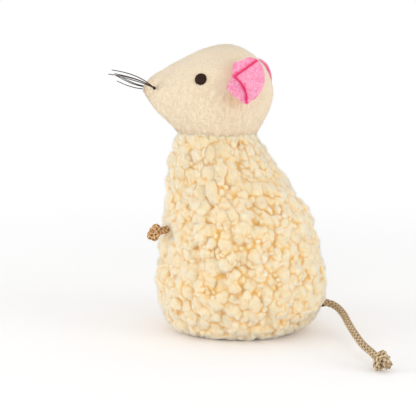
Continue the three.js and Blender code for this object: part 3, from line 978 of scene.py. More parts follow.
@dataclass
class BodyForm:
    """Outside of the body: its main sizes, and its outline as shares of the height and half sizes."""

    height: float = 72.5
    depth: float = 62.0
    width: float = 55.0
    front: Pairs = (
        (0, 0.723), (0.069, 0.893), (0.207, 0.986), (0.359, 0.989),
        (0.579, 0.902), (0.8, 0.867), (0.924, 0.816), (1, 0.712),
    )
    back: Pairs = (
        (0, 0.723), (0.069, 0.893), (0.193, 1.022), (0.414, 0.962),
        (0.621, 0.811), (0.786, 0.532), (0.924, 0.288), (1, 0.172),
    )
    side: Pairs = (
        (0, 0.709), (0.069, 0.895), (0.221, 1), (0.414, 0.967),
        (0.621, 0.851), (0.828, 0.676), (1, 0.505),
    )
    paw_z: float = 39.0
    paw_left: float = 28.0
    paw_right: float = 44.0
    tail_z: float = 10.5
    curl_spacing: float = 8.3
    curl_depth: float = 2.0
    curl_radius: float = 5.4
    curl_wander: float = 0.22
    curl_border: float = 4.0

    @staticmethod
    def read(outline: Pairs, share: Array) -> Array:
        """Reads one outline at shares of the height."""
        fine = spline(np.array(outline, float), np.linspace(0, 1, 12 * len(outline) + 1))
        return np.interp(share, fine[:, 0], fine[:, 1])

    def points(self, z: Array, angle: Array, inset: Array) -> Array:
        """Gives points on the body.

        Args:
            z: Heights.
            angle: Angles from the front round towards +X.
            inset: Distances in from the outside.

        Returns:
            One point for each height.
        """
        share = z / self.height
        front, back = -self.read(self.front, share), self.read(self.back, share)
        middle = (front + back) * self.depth / 4
        deep = (back - front) * self.depth / 4 - inset
        wide = self.read(self.side, share) * self.width / 2 - inset
        return np.stack([wide * np.sin(angle), middle - deep * np.cos(angle), z], axis=1)

    @cached_property
    def curls(self) -> kdtree.KDTree:
        """Places the fleece's main curls: one round each cord, then staggered rows.

        Returns:
            A finder of their middles.
        """
        angle = np.radians([self.paw_left, -self.paw_right, 180.0])
        found = [self.points(np.array([self.paw_z, self.paw_z, self.tail_z]), angle, np.zeros(3))]
        rows = round(self.height / (self.curl_spacing * np.sin(np.pi / 3)))
        for row in range(rows):
            level = np.full(1, (row + 0.5) * self.height / rows)
            span = np.ptp(self.points(level.repeat(4), np.arange(4) * np.pi / 2, np.zeros(4)), axis=0)
            count = round(np.pi * (span[0] + span[1]) / 2 / self.curl_spacing)
            k = np.arange(count)
            seed = row * row + k * k
            turn = (k + (row % 2) / 2 + self.curl_wander * np.sin(seed)) / count
            z = level + self.curl_wander * self.curl_spacing * np.cos(seed)
            found.append(self.points(z, turn * 2 * np.pi, np.zeros(count)))
        return finder(np.vstack(found))

    def sunk(self, points: Array) -> Array:
        """Gives how deep the fleece sinks between its main curls.

        Args:
            points: Points of the outside.

        Returns:
            A depth for each point.
        """
        near = np.array([self.curls.find(p)[2] for p in points])
        z = points[:, 2]
        border = np.clip(np.minimum(z, self.height - z) / self.curl_border, 0.0, 1.0)
        return self.curl_depth * border * np.minimum(1.0, (near / self.curl_radius) ** 2)

    def out(self, z: float, angle: float) -> Array:
        """Gives the level outward direction at a height and an angle."""
        a, b = self.points(np.array([z, z]), np.array([angle - 0.01, angle + 0.01]), np.zeros(2))
        return unit(np.array([b[1] - a[1], a[0] - b[0], 0.0]))


@dataclass
class HeadForm:
    """Outside of the head: sections that fan round the throat from the neck seam to the nose."""

    seam: float = 72.5
    length: float = 47.0
    height: float = 32.1
    width: float = 33.2
    chin: Pairs = (
        (-0.468, 0), (-0.481, 0.022), (-0.502, 0.056), (-0.531, 0.1), (-0.566, 0.143),
        (-0.602, 0.19), (-0.642, 0.246), (-0.68, 0.315), (-0.718, 0.393), (-0.745, 0.461),
    )
    crown: Pairs = (
        (0.12, 0), (0.226, 0.28), (0.25, 0.514), (0.178, 0.775), (0.027, 0.955),
        (-0.136, 1), (-0.315, 0.93), (-0.496, 0.8), (-0.656, 0.661), (-0.726, 0.564),
    )
    half: tuple[float, ...] = (0.819, 0.916, 0.976, 1, 0.952, 0.843, 0.687, 0.494, 0.277, 0.114)
    nose: Pair = (-0.757, 0.508)
    eye: Pair = (-0.273, 0.657)
    ear: Pair = (-0.041, 0.677)
    whisker: Pair = (-0.634, 0.523)
    nod_y: float = -7.6

    def on_side(self, place: Sequence[float]) -> Array:
        """Gives y and z of a place on the side view from shares of the length and height."""
        return np.array([place[0] * self.length, self.seam + place[1] * self.height])

    def sections(self, share: Array) -> tuple[Array, Array, Array]:
        """Reads the head's outlines.

        Args:
            share: Way from the neck, 0, to the nose, 1.

        Returns:
            Chin and crown as y and z, and the half width, at each share.
        """
        chin = spline(np.array([self.on_side(p) for p in self.chin]), share)
        crown = spline(np.array([self.on_side(p) for p in self.crown]), share)
        half = spline(np.array(self.half, float)[:, None] * self.width / 2, share)[:, 0]
        return chin, crown, half

    def points(self, share: Array, angle: Array, inset: Array) -> Array:
        """Gives points on the head.

        Args:
            share: Way from the neck, 0, to the nose, 1.
            angle: Angles from the crown round towards +X.
            inset: Distances in from the outside.

        Returns:
            One point for each share.
        """
        chin, crown, half = self.sections(share)
        middle, reach = (chin + crown) / 2, (crown - chin) / 2
        tall = np.linalg.norm(reach, axis=1)
        up = unit(reach) * ((tall - inset) * np.cos(angle))[:, None]
        return np.column_stack([(half - inset) * np.sin(angle), middle + up])

    def side_width(self, y: float, z: float) -> float:
        """Measures the head's half width at a place on the side view.

        Args:
            y: Place along the mouse.
            z: Height of the place.

        Returns:
            The half width there.
        """
        share = np.linspace(0, 1, 1201)
        chin, crown, half = self.sections(share)
        way, off = crown - chin, np.array([y, z]) - chin
        turn = way[:, 0] * off[:, 1] - way[:, 1] * off[:, 0]
        i = int(np.argmin(np.abs(turn)))
        middle = (chin[i] + crown[i]) / 2
        s = np.linalg.norm((y, z) - middle) / np.linalg.norm(crown[i] - middle)
        return float(half[i] * math.sqrt(max(0.0, 1.0 - s * s)))

    def spot(self, place: Sequence[float]) -> tuple[Array, Array]:
        """Finds a point on the head's left side.

        Args:
            place: Shares of the length and height.

        Returns:
            The point and its outward direction.
        """
        y, z = self.on_side(place)
        step = 0.8
        slope_y = (self.side_width(y + step, z) - self.side_width(y - step, z)) / (2 * step)
        slope_z = (self.side_width(y, z + step) - self.side_width(y, z - step)) / (2 * step)
        return np.array([self.side_width(y, z), y, z]), unit(np.array([1.0, -slope_y, -slope_z]))


BODY = BodyForm()
HEAD = HeadForm()


# Camera, light and floor


@dataclass
class Studio:
    """Camera at the photograph's view, soft light and a pale floor."""

    aim: Triple = (0.0, -11.7, 45.0)
    distance: float = 600.0
    azimuth: float = 96.0
    elevation: float = 10.0
    lens: float = 142.26
    floor_half: float = 3000.0
    world_light: float = 0.86
    floor_lift: float = 0.06
    lamps: tuple[tuple[str, Triple, float, float], ...] = (
        ("front", (640.0, -80.0, 60.0), 520.0, 1.05),
        ("chest", (200.0, -620.0, 80.0), 420.0, 2.15),
        ("back", (240.0, 620.0, 80.0), 420.0, 2.15),
    )

    def build(self) -> None:
        """Makes the camera, the world, the lamps and the floor."""
        scene = bpy.context.scene
        scene.view_settings.view_transform = "Standard"
        aim = Vector(self.aim) * MM
        a, e = math.radians(self.azimuth), math.radians(self.elevation)
        back = Vector((math.sin(a) * math.cos(e), -math.cos(a) * math.cos(e), math.sin(e)))
        camera = bpy.data.objects.new("camera", bpy.data.cameras.new("camera"))
        camera.data.lens = self.lens
        camera.data.clip_start = 0.01
        camera.location = aim + back * self.distance * MM
        camera.rotation_euler = (-back).to_track_quat("-Z", "Y").to_euler()
        scene.collection.objects.link(camera)
        scene.camera = camera
        self.light(aim)
        self.floor()

    def light(self, aim: Vector) -> None:
        """Lights the scene from a white world and wide soft lamps that face the mouse.

        Args:
            aim: Point that the lamps face, in metres.
        """
        world = bpy.data.worlds.new("studio")
        world.use_nodes = True
        world.node_tree.nodes.clear()
        bench = NodeBench(world.node_tree)
        seen = self.seen_directly(bench)
        lit = bench.add("ShaderNodeBackground", {0: WHITE, 1: self.world_light})
        white = bench.add("ShaderNodeBackground", {0: WHITE, 1: 1.0})
        both = bench.add("ShaderNodeMixShader", {0: seen, 1: lit.outputs[0], 2: white.outputs[0]})
        bench.add("ShaderNodeOutputWorld", {0: both.outputs[0]})
        bpy.context.scene.world = world
        for name, place, size, power in self.lamps:
            lamp = bpy.data.lights.new(name, "AREA")
            lamp.shape = "DISK"
            lamp.size = size * MM
            lamp.energy = power
            obj = bpy.data.objects.new(name, lamp)
            obj.location = Vector(place) * MM
            obj.rotation_euler = (aim - obj.location).to_track_quat("-Z", "Y").to_euler()
            bpy.context.scene.collection.objects.link(obj)

    @staticmethod
    def seen_directly(bench: NodeBench) -> bpy.types.NodeSocket:
        """Tells where the camera sees a surface itself, or in a reflection or through glass.

        Args:
            bench: Bench on the tree that needs it.

        Returns:
            A value of 1 where it is seen, or else 0.
        """
        rays = bench.add("ShaderNodeLightPath").outputs
        shiny = bench.math("MAXIMUM", rays["Is Glossy Ray"], rays["Is Transmission Ray"])
        return bench.math("MAXIMUM", rays["Is Camera Ray"], shiny)

    def floor(self) -> None:
        """Makes the floor: it takes the shadow near the mouse and is white further off."""
        bm = bmesh.new()
        bmesh.ops.create_grid(bm, x_segments=8, y_segments=8, size=self.floor_half * MM)
        mesh = bpy.data.meshes.new("floor")
        bm.to_mesh(mesh)
        bm.free()
        floor = bpy.data.objects.new("floor", mesh)
        bpy.context.scene.collection.objects.link(floor)
        made = bpy.data.materials.new("floor")
        made.use_nodes = True
        made.node_tree.nodes.clear()
        bench = NodeBench(made.node_tree)
        matt = bench.add("ShaderNodeBsdfDiffuse", {0: (0.92, 0.92, 0.92, 1.0)})
        lift = bench.add("ShaderNodeEmission", {0: WHITE, 1: self.floor_lift})
        near = bench.add("ShaderNodeAddShader", {0: matt.outputs[0], 1: lift.outputs[0]})
        white = bench.add("ShaderNodeEmission", {0: WHITE, 1: 1.0})
        away = bench.add("ShaderNodeVectorMath", {0: bench.place()}, operation="LENGTH").outputs["Value"]
        fade = bench.ramp(away, 0.1, 0.3)
        seen = bench.add("ShaderNodeMixShader", {0: fade, 1: near.outputs[0], 2: white.outputs[0]})
        final = bench.add(
            "ShaderNodeMixShader", {0: self.seen_directly(bench), 1: matt.outputs[0], 2: seen.outputs[0]}
        )
        bench.add("ShaderNodeOutputMaterial", {0: final.outputs[0]})
        mesh.materials.append(made)


# Cord: tail and paws


@dataclass
class Braid:
    """Cord braided of yarns that wind both ways round a core and pass over and under each other."""

    diameter: float = 2.8
    pairs: int = 5
    pitch: float = 12.0
    weave_depth: float = 0.16
    yarn_half_width: float = 0.5
    yarn_half_thick: float = 0.26
    yarn_sides: int = 8

    def add(self, bm: bmesh.types.BMesh, line: Array, squeeze: Array, seed: int) -> None:
        """Adds braided cord along a line.

        Args:
            bm: Mesh that the cord goes into.
            line: Middle line, evenly spaced.
            squeeze: Share of the full diameter at each point.
            seed: Seed of the yarns' shades.
        """
        pick = random.Random(seed)
        way, across, other = carried_frames(line)
        along = np.concatenate([[0], np.cumsum(np.linalg.norm(np.diff(line, axis=0), axis=1))])
        radius = self.diameter / 2 - self.weave_depth - self.yarn_half_thick
        core = add_tube(bm, line, other, radius * squeeze, radius * squeeze, 10)
        # The core takes the gap colour, a painted dark shade between the yarns; its last rows, at the cut
        # end, are lighter.
        tinted(bm, core, Shade.YARN, np.where(np.arange(len(core)) >= len(core) - 22, 0.45, 0.0))
        for turn in (1, -1):
            for k in range(self.pairs):
                angle = 2 * np.pi * (k / self.pairs + turn * along / self.pitch)
                sway = turn * np.cos(2 * np.pi * self.pairs * along / self.pitch)
                out = across * np.cos(angle)[:, None] + other * np.sin(angle)[:, None]
                reach = (radius + self.weave_depth * sway) * squeeze
                yarn = add_tube(
                    bm, line + out * reach[:, None], out,
                    self.yarn_half_width * squeeze, np.full(len(line), self.yarn_half_thick), self.yarn_sides,
                )
                # Painted shade: a yarn is darker at its edges and where it passes under the others, times its
                # own tone.
                row, side = np.divmod(np.arange(len(yarn)), self.yarn_sides + 1)
                crown = np.sin(2 * np.pi * side / self.yarn_sides) ** 2
                over = 0.5 + 0.5 * sway[np.clip(row - 1, 0, len(line) - 1)]
                light = pick.uniform(0.75, 1.0) * (0.25 + 0.75 * crown) * (0.3 + 0.7 * over)
                tinted(bm, yarn, Shade.YARN, light)


@dataclass
class Knot:
    """Overhand knot tied in the cord, in its own frame: the cord comes in along +X."""

    turns: Triples = (
        (-3.9, 0.0, 0.0), (-2.3, -0.3, 0.6), (-0.9, 0.2, 1.9), (0.4, 0.6, 2.5), (1.3, -0.8, 2.2),
        (1.6, -2.2, 0.6), (1.3, -2.3, -1.2), (0.2, -1.2, -2.4), (-1.1, 0.4, -2.3), (-1.5, 1.9, -1.0),
        (-0.6, 2.2, 0.4), (0.6, 1.2, 0.3), (1.7, 1.2, -0.6), (3.0, 1.6, -1.4),
    )
    squeeze: float = 0.88
    tight: float = 0.95
    points: int = 110

    def line(self, at: Array, way: Array, roll: float) -> Array:
        """Gives the knot's middle line at a place.

        Args:
            at: Middle of the knot.
            way: Direction that the cord comes in.
            roll: Turn about that direction, in degrees.

        Returns:
            Evenly spaced points.
        """
        x = unit(way)
        y = unit(np.cross((0.0, 0.0, 1.0), x))
        z = np.cross(x, y)
        c, s = math.cos(math.radians(roll)), math.sin(math.radians(roll))
        axes = np.array([x, y * c + z * s, z * c - y * s])
        return at + route(np.array(self.turns) * self.tight, self.points) @ axes


@dataclass
class Tail:
    """Braided tail from the back seam to its knot on the floor."""

    clear: float = 1.7
    inside: float = 4.0
    route_points: Triples = (
        (3.4, 35.6, 10.0), (10.2, 38.3, 9.0), (20.8, 40.6, 7.8), (30.1, 43.1, 6.4),
        (37.4, 45.7, 5.0), (43.3, 48.5, 4.1), (48.7, 50.6, 3.6),
    )
    knot_at: Triple = (52.335, 52.013, 3.7)
    knot_way: Triple = (0.932, 0.362, 0.0)
    knot_roll: float = 0.0
    braid: Braid = field(default_factory=Braid)
    knot: Knot = field(default_factory=Knot)

    def build(self) -> None:
        pivot = BODY.points(np.array([BODY.tail_z]), np.array([math.pi]), np.array([-self.clear]))[0]
        points = np.array([pivot - (0.0, self.inside, 0.0), pivot, *self.route_points])
        line = route(points, 150)
        bm = new_mesh(Shade.YARN)
        self.braid.add(bm, line, np.ones(len(line)), seed=3)
        weld(bm)
        cord = settle(make_piece(bm, "tail_braid", Finishes.TAIL), "tail", "pale_cord", "tail_cord")
        bm = new_mesh(Shade.YARN)
        turns = self.knot.line(np.array(self.knot_at), np.array(self.knot_way), self.knot_roll)
        squeeze = np.interp(np.arange(len(turns)), (0, 84, 98), (self.knot.squeeze, self.knot.squeeze, 1.3))
        self.braid.add(bm, turns, squeeze, seed=5)
        weld(bm)
        knot = settle(make_piece(bm, "tail_knot_braid", Finishes.TAIL), "tail", "pale_cord", "tail_knot")


@dataclass
class Paws:
    """Two paws: a stub of brown cord out of the chest seam with a knot at its end."""

    dip: float = 8.0
    pivot_depth: float = 2.2
    reach: float = 7.4
    inside: float = 2.0
    braid: Braid = field(default_factory=lambda: Braid(pairs=4, pitch=7.0))
    knot: Knot = field(default_factory=lambda: Knot(
        turns=(
            (-3.9, 0.0, 0.0), (-2.4, 0.1, -0.5), (-0.6, -0.3, -0.9), (1.0, -1.0, -0.8), (1.9, -2.1, 0.3),
            (1.2, -1.9, 1.9), (-0.4, -0.1, 2.5), (-1.4, 1.8, 1.6), (-1.5, 2.5, -0.2), (-0.9, 1.5, -2.1),
            (0.1, -0.5, -2.5), (0.6, -2.3, -1.6), (-0.1, -2.3, 0.1), (0.2, -0.9, 0.6), (0.7, 0.2, 0.4),
        ),
        squeeze=0.86, tight=0.74,
    ))

    def build(self, side: Side) -> None:
        """Makes the paw of one side.

        Args:
            side: Side that it is made for.
        """
        name = side.name.lower()
        angle = math.radians(BODY.paw_left if side is Side.LEFT else -BODY.paw_right)
        level = BODY.out(BODY.paw_z, angle)
        way = unit(level - (0.0, 0.0, math.tan(math.radians(self.dip))))
        skin = BODY.points(np.array([BODY.paw_z]), np.array([angle]), np.zeros(1))[0]
        pivot = skin - way * self.pivot_depth
        turns = self.knot.line(pivot + way * self.reach, way, 70.0 if side is Side.LEFT else -40.0)
        root = np.linspace(pivot - way * self.inside, turns[0], 14)[:-1]
        line = np.vstack([root, turns])
        squeeze = np.interp(np.arange(len(line)), (0, 12, 20), (1.12, 1.08, self.knot.squeeze))
        bm = new_mesh(Shade.YARN)
        self.braid.add(bm, line, squeeze, seed=7 if side is Side.LEFT else 8)
        weld(bm)
        nodes = (f"arm_cord_{name}", f"arm_knot_{name}")
        settle(make_piece(bm, f"paw_{name}_braid", Finishes.PAW), f"{name}_arm", "brown_cord", *nodes)


# Fleece body


@dataclass
class Strands:
    """Loose fibres that stand on a piece, each a thin spike."""

    count: int
    length: Pair
    half_width: float
    lean: float
    seed: int

    def build(
        self, name: str, ground: Array, out: Array, finish: Finish, shade: Shade, values: Array
    ) -> bpy.types.Object:
        """Scatters fibres over points of a piece.

        Args:
            name: Name of the piece that they make.
            ground: Points that fibres may grow from.
            out: Outward direction at each point.
            finish: Finish of the fibres.
            shade: Vertex value that the fibres take over from the ground.
            values: That value at each point of the ground.

        Returns:
            One object with all the fibres.
        """
        bm = bmesh.new()
        upright = Matrix.Translation((0.0, 0.0, 0.5))
        bmesh.ops.create_cone(
            bm, cap_ends=True, segments=3, radius1=1.0, radius2=0.0, depth=1.0, matrix=upright
        )
        weld(bm)
        spike = np.array([v.co[:] for v in bm.verts])
        bm.verts.index_update()
        faces = [[v.index for v in f.verts] for f in bm.faces]
        bm.free()
        dice = np.random.default_rng(self.seed)
        pick = dice.integers(0, len(ground), self.count)
        way = unit(out[pick] + self.lean * dice.normal(size=(self.count, 3)))
        bend = unit(np.cross(way, dice.normal(size=(self.count, 3))))
        wing = np.cross(way, bend)
        tall = dice.uniform(*self.length, self.count)[:, None, None]
        up, x, y = spike[None, :, 2:3], spike[None, :, 0:1], spike[None, :, 1:2]
        points = (
            ground[pick][:, None, :] + tall * up * way[:, None, :]
            + self.half_width * (x * bend[:, None, :] + y * wing[:, None, :])
        ).reshape(-1, 3)
        mesh = bpy.data.meshes.new(name)
        shift = np.arange(self.count)[:, None] * len(spike)
        rows = [row for f in faces for row in (shift + np.array(f)).tolist()]
        mesh.from_pydata((points * MM).tolist(), [], rows)
        obj = dressed(mesh, name, finish)
        write_shade(obj, shade, np.repeat(values[pick], len(spike)))
        return obj


@dataclass
class Domes:
    """Round lumps packed over a surface, the large ones first."""

    rounds: tuple[tuple[float, float, int], ...]
    spacing: float
    spread: float
    stretch: float
    seed: int
    merge: float = 3.0
    groove: float = 0.42

    def pack(self, ground: Array) -> tuple[Array, Array]:
        """Picks the middles and radii of lumps that crowd but don't cover each other.

        Args:
            ground: Points that lumps may sit on.

        Returns:
            Middles and radii.
        """
        dice = np.random.default_rng(self.seed)
        total = sum(tries for _, _, tries in self.rounds)
        at, radius, count = np.zeros((total, 3)), np.zeros(total), 0
        for small, large, tries in self.rounds:
            for k in dice.integers(0, len(ground), tries):
                r, p = dice.uniform(small, large), ground[k]
                apart = np.linalg.norm(at[:count] - p, axis=1)
                if np.all(apart > self.spacing * (radius[:count] + r)):
                    at[count], radius[count] = p, r
                    count += 1
        return at[:count], radius[:count]

    def rise(
        self, points: Array, warp: Array, outside: Array, tree: kdtree.KDTree
    ) -> tuple[Array, Array, Array]:
        """Measures how far up the lumps each point is, with neighbours running softly into each other.

        Args:
            points: Points of the surface.
            warp: How far each point is shifted first, so that no lump is quite round.
            outside: Which points carry lumps.
            tree: Finder of the points.

        Returns:
            Height from 0 between lumps to about 1 on top, the way from the lump's middle, and how close the
            point is to a border between two lumps, from 0 to 1.
        """
        at, radius = self.pack(points[outside])
        dice = np.random.default_rng(self.seed + 1)
        total, way = np.zeros(len(points)), np.zeros((len(points), 3))
        first, second = np.zeros(len(points)), np.zeros(len(points))
        for c, r in zip(at, radius):
            found = tree.find_range(Vector(c), r * self.spread * self.stretch + 1.0)
            near = np.array([i for _, i, _ in found])
            off = points[near] + warp[near] - c
            axis = unit(dice.normal(size=3))
            along = off @ axis
            long = dice.uniform(1.0, self.stretch)
            across = np.maximum((off**2).sum(axis=1) - along**2, 0.0)
            d = ((along / long) ** 2 + across) / (r * self.spread) ** 2
            tall = np.maximum(0.0, 1.0 - d) * dice.uniform(0.7, 1.0)
            second[near] = np.maximum(second[near], np.minimum(first[near], tall))
            first[near] = np.maximum(first[near], tall)
            weight = tall**self.merge
            total[near] += weight
            way[near] += off * weight[:, None]
        LOG.info("packed %d lumps of %.1f mm and more", len(at), radius.min())
        way /= np.maximum(total, 1e-9)[:, None]
        return total ** (1.0 / self.merge), way, ease(self.groove, 0.0, first - second)


@dataclass
class Fleece:
    """Curly fleece coat of the body: a thick wall whose outside is packed with tufts in clumps."""

    cols: int = 540
    rows: int = 260
    hem: float = 0.945
    wall: Triples = (
        (0.0, 2.6, 73.0), (0.012, 1.2, 74.0), (0.022, 0.0, 74.1), (0.036, -0.5, 72.8), (0.055, -0.3, 70.6),
        (0.09, 0.0, 67.5), (0.9, 0.0, 4.0), (0.925, 0.4, 1.7), (0.945, 1.6, 0.5), (0.96, 3.4, 0.3),
        (0.97, 4.8, 0.8), (0.98, 5.1, 8.0), (0.995, 5.1, 70.0), (1.0, 2.6, 73.0),
    )
    clumps: Domes = field(
        default_factory=lambda: Domes(
            rounds=((2.1, 2.9, 1800), (1.5, 2.1, 6000), (1.0, 1.5, 6000), (0.7, 1.0, 9000)),
            spacing=0.82, spread=1.32, stretch=1.5, seed=11,
        )
    )
    tufts: Domes = field(
        default_factory=lambda: Domes(
            rounds=((0.8, 1.2, 8000), (0.55, 0.8, 9000)), spacing=0.86, spread=1.3, stretch=1.4, seed=13
        )
    )
    clump_height: float = 1.25
    tuft_height: float = 0.45
    sink: float = 0.9
    bulge: float = 0.25
    hairy_from: float = 0.55
    groove_depth: float = 0.38
    rough: float = 0.045
    ragged: float = 1.3
    creases: tuple[Triples, ...] = (
        ((24.0, -16.2, 59.8), (24.0, -14.8, 55.5), (24.0, -12.0, 52.0), (25.0, -11.3, 46.4)),
        ((26.0, -14.3, 38.1), (26.0, -13.9, 30.3), (26.0, -10.0, 22.8), (26.0, -8.3, 20.3)),
        ((27.0, 2.7, 32.3), (27.0, 2.7, 28.0), (27.0, 2.8, 22.6)),
    )
    crease_width: float = 1.2
    crease_depth: float = 1.0
    middle_y: float = -2.0
    floor_edge: float = 0.6
    collar: Pair = (74.0, 68.0)
    collar_height: float = 0.75
    warp_sizes: Pair = (5.0, 1.7)
    clump_warp: Pair = (1.1, 0.8)
    tuft_warp: Pair = (0.4, 0.4)
    low_tufts: float = 0.35
    grain_size: float = 1.15
    grain_height: float = 0.25
    swell_size: float = 13.0
    swell: float = 0.5
    groove_patch: float = 6.0
    groove_least: float = 0.2
    groove_fade: float = 0.45
    groove_fade_from: Pair = (12.0, 26.0)
    smooth_below: float = 3.0
    bare_below: float = 1.6
    fuzz: Strands = field(
        default_factory=lambda: Strands(count=24000, length=(0.4, 1.3), half_width=0.026, lean=0.9, seed=21)
    )

    def build(self) -> None:
        """Makes the coat, its tufts and its loose fibres."""
        bm = bmesh.new()
        mapped_grid(bm, self.cols, self.rows, self.lay)
        weld(bm)
        coat = make_piece(bm, "fleece_coat", Finishes.FLEECE)
        curl, outside = self.grow(coat)
        write_shade(coat, Shade.CURL, curl)
        settle(coat, "torso", "sherpa_fleece", "body_panel_left", "body_panel_right")
        ground, out = points_of(coat), normals_of(coat)
        hairy = outside & (ground[:, 2] > self.bare_below) & (curl > self.hairy_from)
        fuzz = self.fuzz.build(
            "fleece_fuzz_0", ground[hairy], out[hairy], Finishes.FIBRE, Shade.CURL, curl[hairy]
        )
        settle(fuzz, "torso", "sherpa_fleece")

    def lay(self, u: Array, v: Array) -> Array:
        """Lays the plain wall round the body.

        Args:
            u: Shares round the body.
            v: Shares along the wall's section, from the collar down the outside and up the inside.

        Returns:
            Points of the wall.
        """
        path = np.array(self.wall)
        inset, z = (np.interp(v, path[:, 0], path[:, k]) for k in (1, 2))
        level, angle = np.clip(z, 0.0, BODY.height), 2 * np.pi * u
        dip = np.where(v < self.hem, BODY.sunk(BODY.points(level, angle, np.zeros(len(u)))), 0.0)
        body = BODY.points(level, angle, inset + dip)
        body[:, 2] = z + self.ragged * noise_at(body, 3.6, 8) * ease(70.0, 73.0, z)
        return body

    def grow(self, coat: bpy.types.Object) -> tuple[Array, Array]:
        """Raises the clumps and their tufts on the coat.

        Args:
            coat: The coat with its plain wall, which is changed.

        Returns:
            How far up its tuft each point is, 0 in a gap to 1 on top, lower in folds and grooves, for painted
            light and shade; and which points are outside.
        """
        plain, out = points_of(coat), normals_of(coat)
        middle = np.array([0.0, self.middle_y])
        outside = ((plain[:, :2] - middle) * out[:, :2]).sum(axis=1) > 0
        outside = outside | (plain[:, 2] < self.floor_edge)
        tree = finder(plain)
        noise.seed_set(5)
        wide, fine = (
            np.array([noise.noise_vector(Vector(p / size))[:] for p in plain]) for size in self.warp_sizes
        )
        warp = self.clump_warp[0] * wide + self.clump_warp[1] * fine
        clump, way, groove = self.clumps.rise(plain, warp, outside, tree)
        warp = self.tuft_warp[0] * wide + self.tuft_warp[1] * fine
        tuft, _, _ = self.tufts.rise(plain, warp, outside, tree)
        apart = np.min([polyline_distance(plain, np.array(line)) for line in self.creases], axis=0)
        fold = bell(apart, self.crease_width)
        full = self.collar_height + (1.0 - self.collar_height) * ease(*self.collar, plain[:, 2])
        fade = np.where(outside, 1.0, 0.0) * full
        tufted = tuft * (self.low_tufts + (1.0 - self.low_tufts) * clump)
        height = self.clump_height * clump + self.tuft_height * tufted
        grain = np.array([noise.voronoi(Vector(p / self.grain_size))[0][0] for p in plain])
        patchy = ease(-0.35, 0.45, noise_at(plain, self.groove_patch, 6))
        groove *= self.groove_least + (1.0 - self.groove_least) * patchy
        groove *= 1.0 - self.groove_fade * ease(*self.groove_fade_from, np.abs(plain[:, 1] - self.middle_y))
        height += self.swell * noise_at(plain, self.swell_size, 4) + self.grain_height * (0.45 - grain)
        height -= self.crease_depth * fold + self.sink + self.groove_depth * groove
        way -= (way * out).sum(axis=1)[:, None] * out
        moved = plain + out * (height * fade)[:, None] + way * (self.bulge * clump * fade)[:, None]
        moved[:, 2] = np.maximum(moved[:, 2], 0.08)
        move_points(coat, moved)
        self.soften(coat, outside & (plain[:, 2] > self.smooth_below))
        low = BODY.sunk(plain) / BODY.curl_depth
        # Shading value that the finish paints as light and shade: high on clumps and tufts, lowered in sinks,
        # folds and grooves.
        curl = 0.72 * clump + 0.42 * tuft * (0.3 + 0.7 * clump) - 0.2 * low - 0.4 * fold - 0.27 * groove
        return np.where(outside, np.clip(curl, 0.0, 1.0), 0.0), outside

    def soften(self, coat: bpy.types.Object, woolly: Array) -> None:
        """Softens the tufts and then roughens their wool.

        Args:
            coat: The coat, which is changed.
            woolly: Which of its points are roughened.
        """
        bm = bmesh.new()
        bm.from_mesh(coat.data)
        for _ in range(2):
            bmesh.ops.smooth_vert(
                bm, verts=bm.verts[:], factor=0.5, use_axis_x=True, use_axis_y=True, use_axis_z=True
            )
        bm.to_mesh(coat.data)
        bm.free()
        rough = np.random.default_rng(15).normal(0.0, self.rough, len(woolly)) * woolly
        move_points(coat, points_of(coat) + normals_of(coat) * rough[:, None])


# Plush head


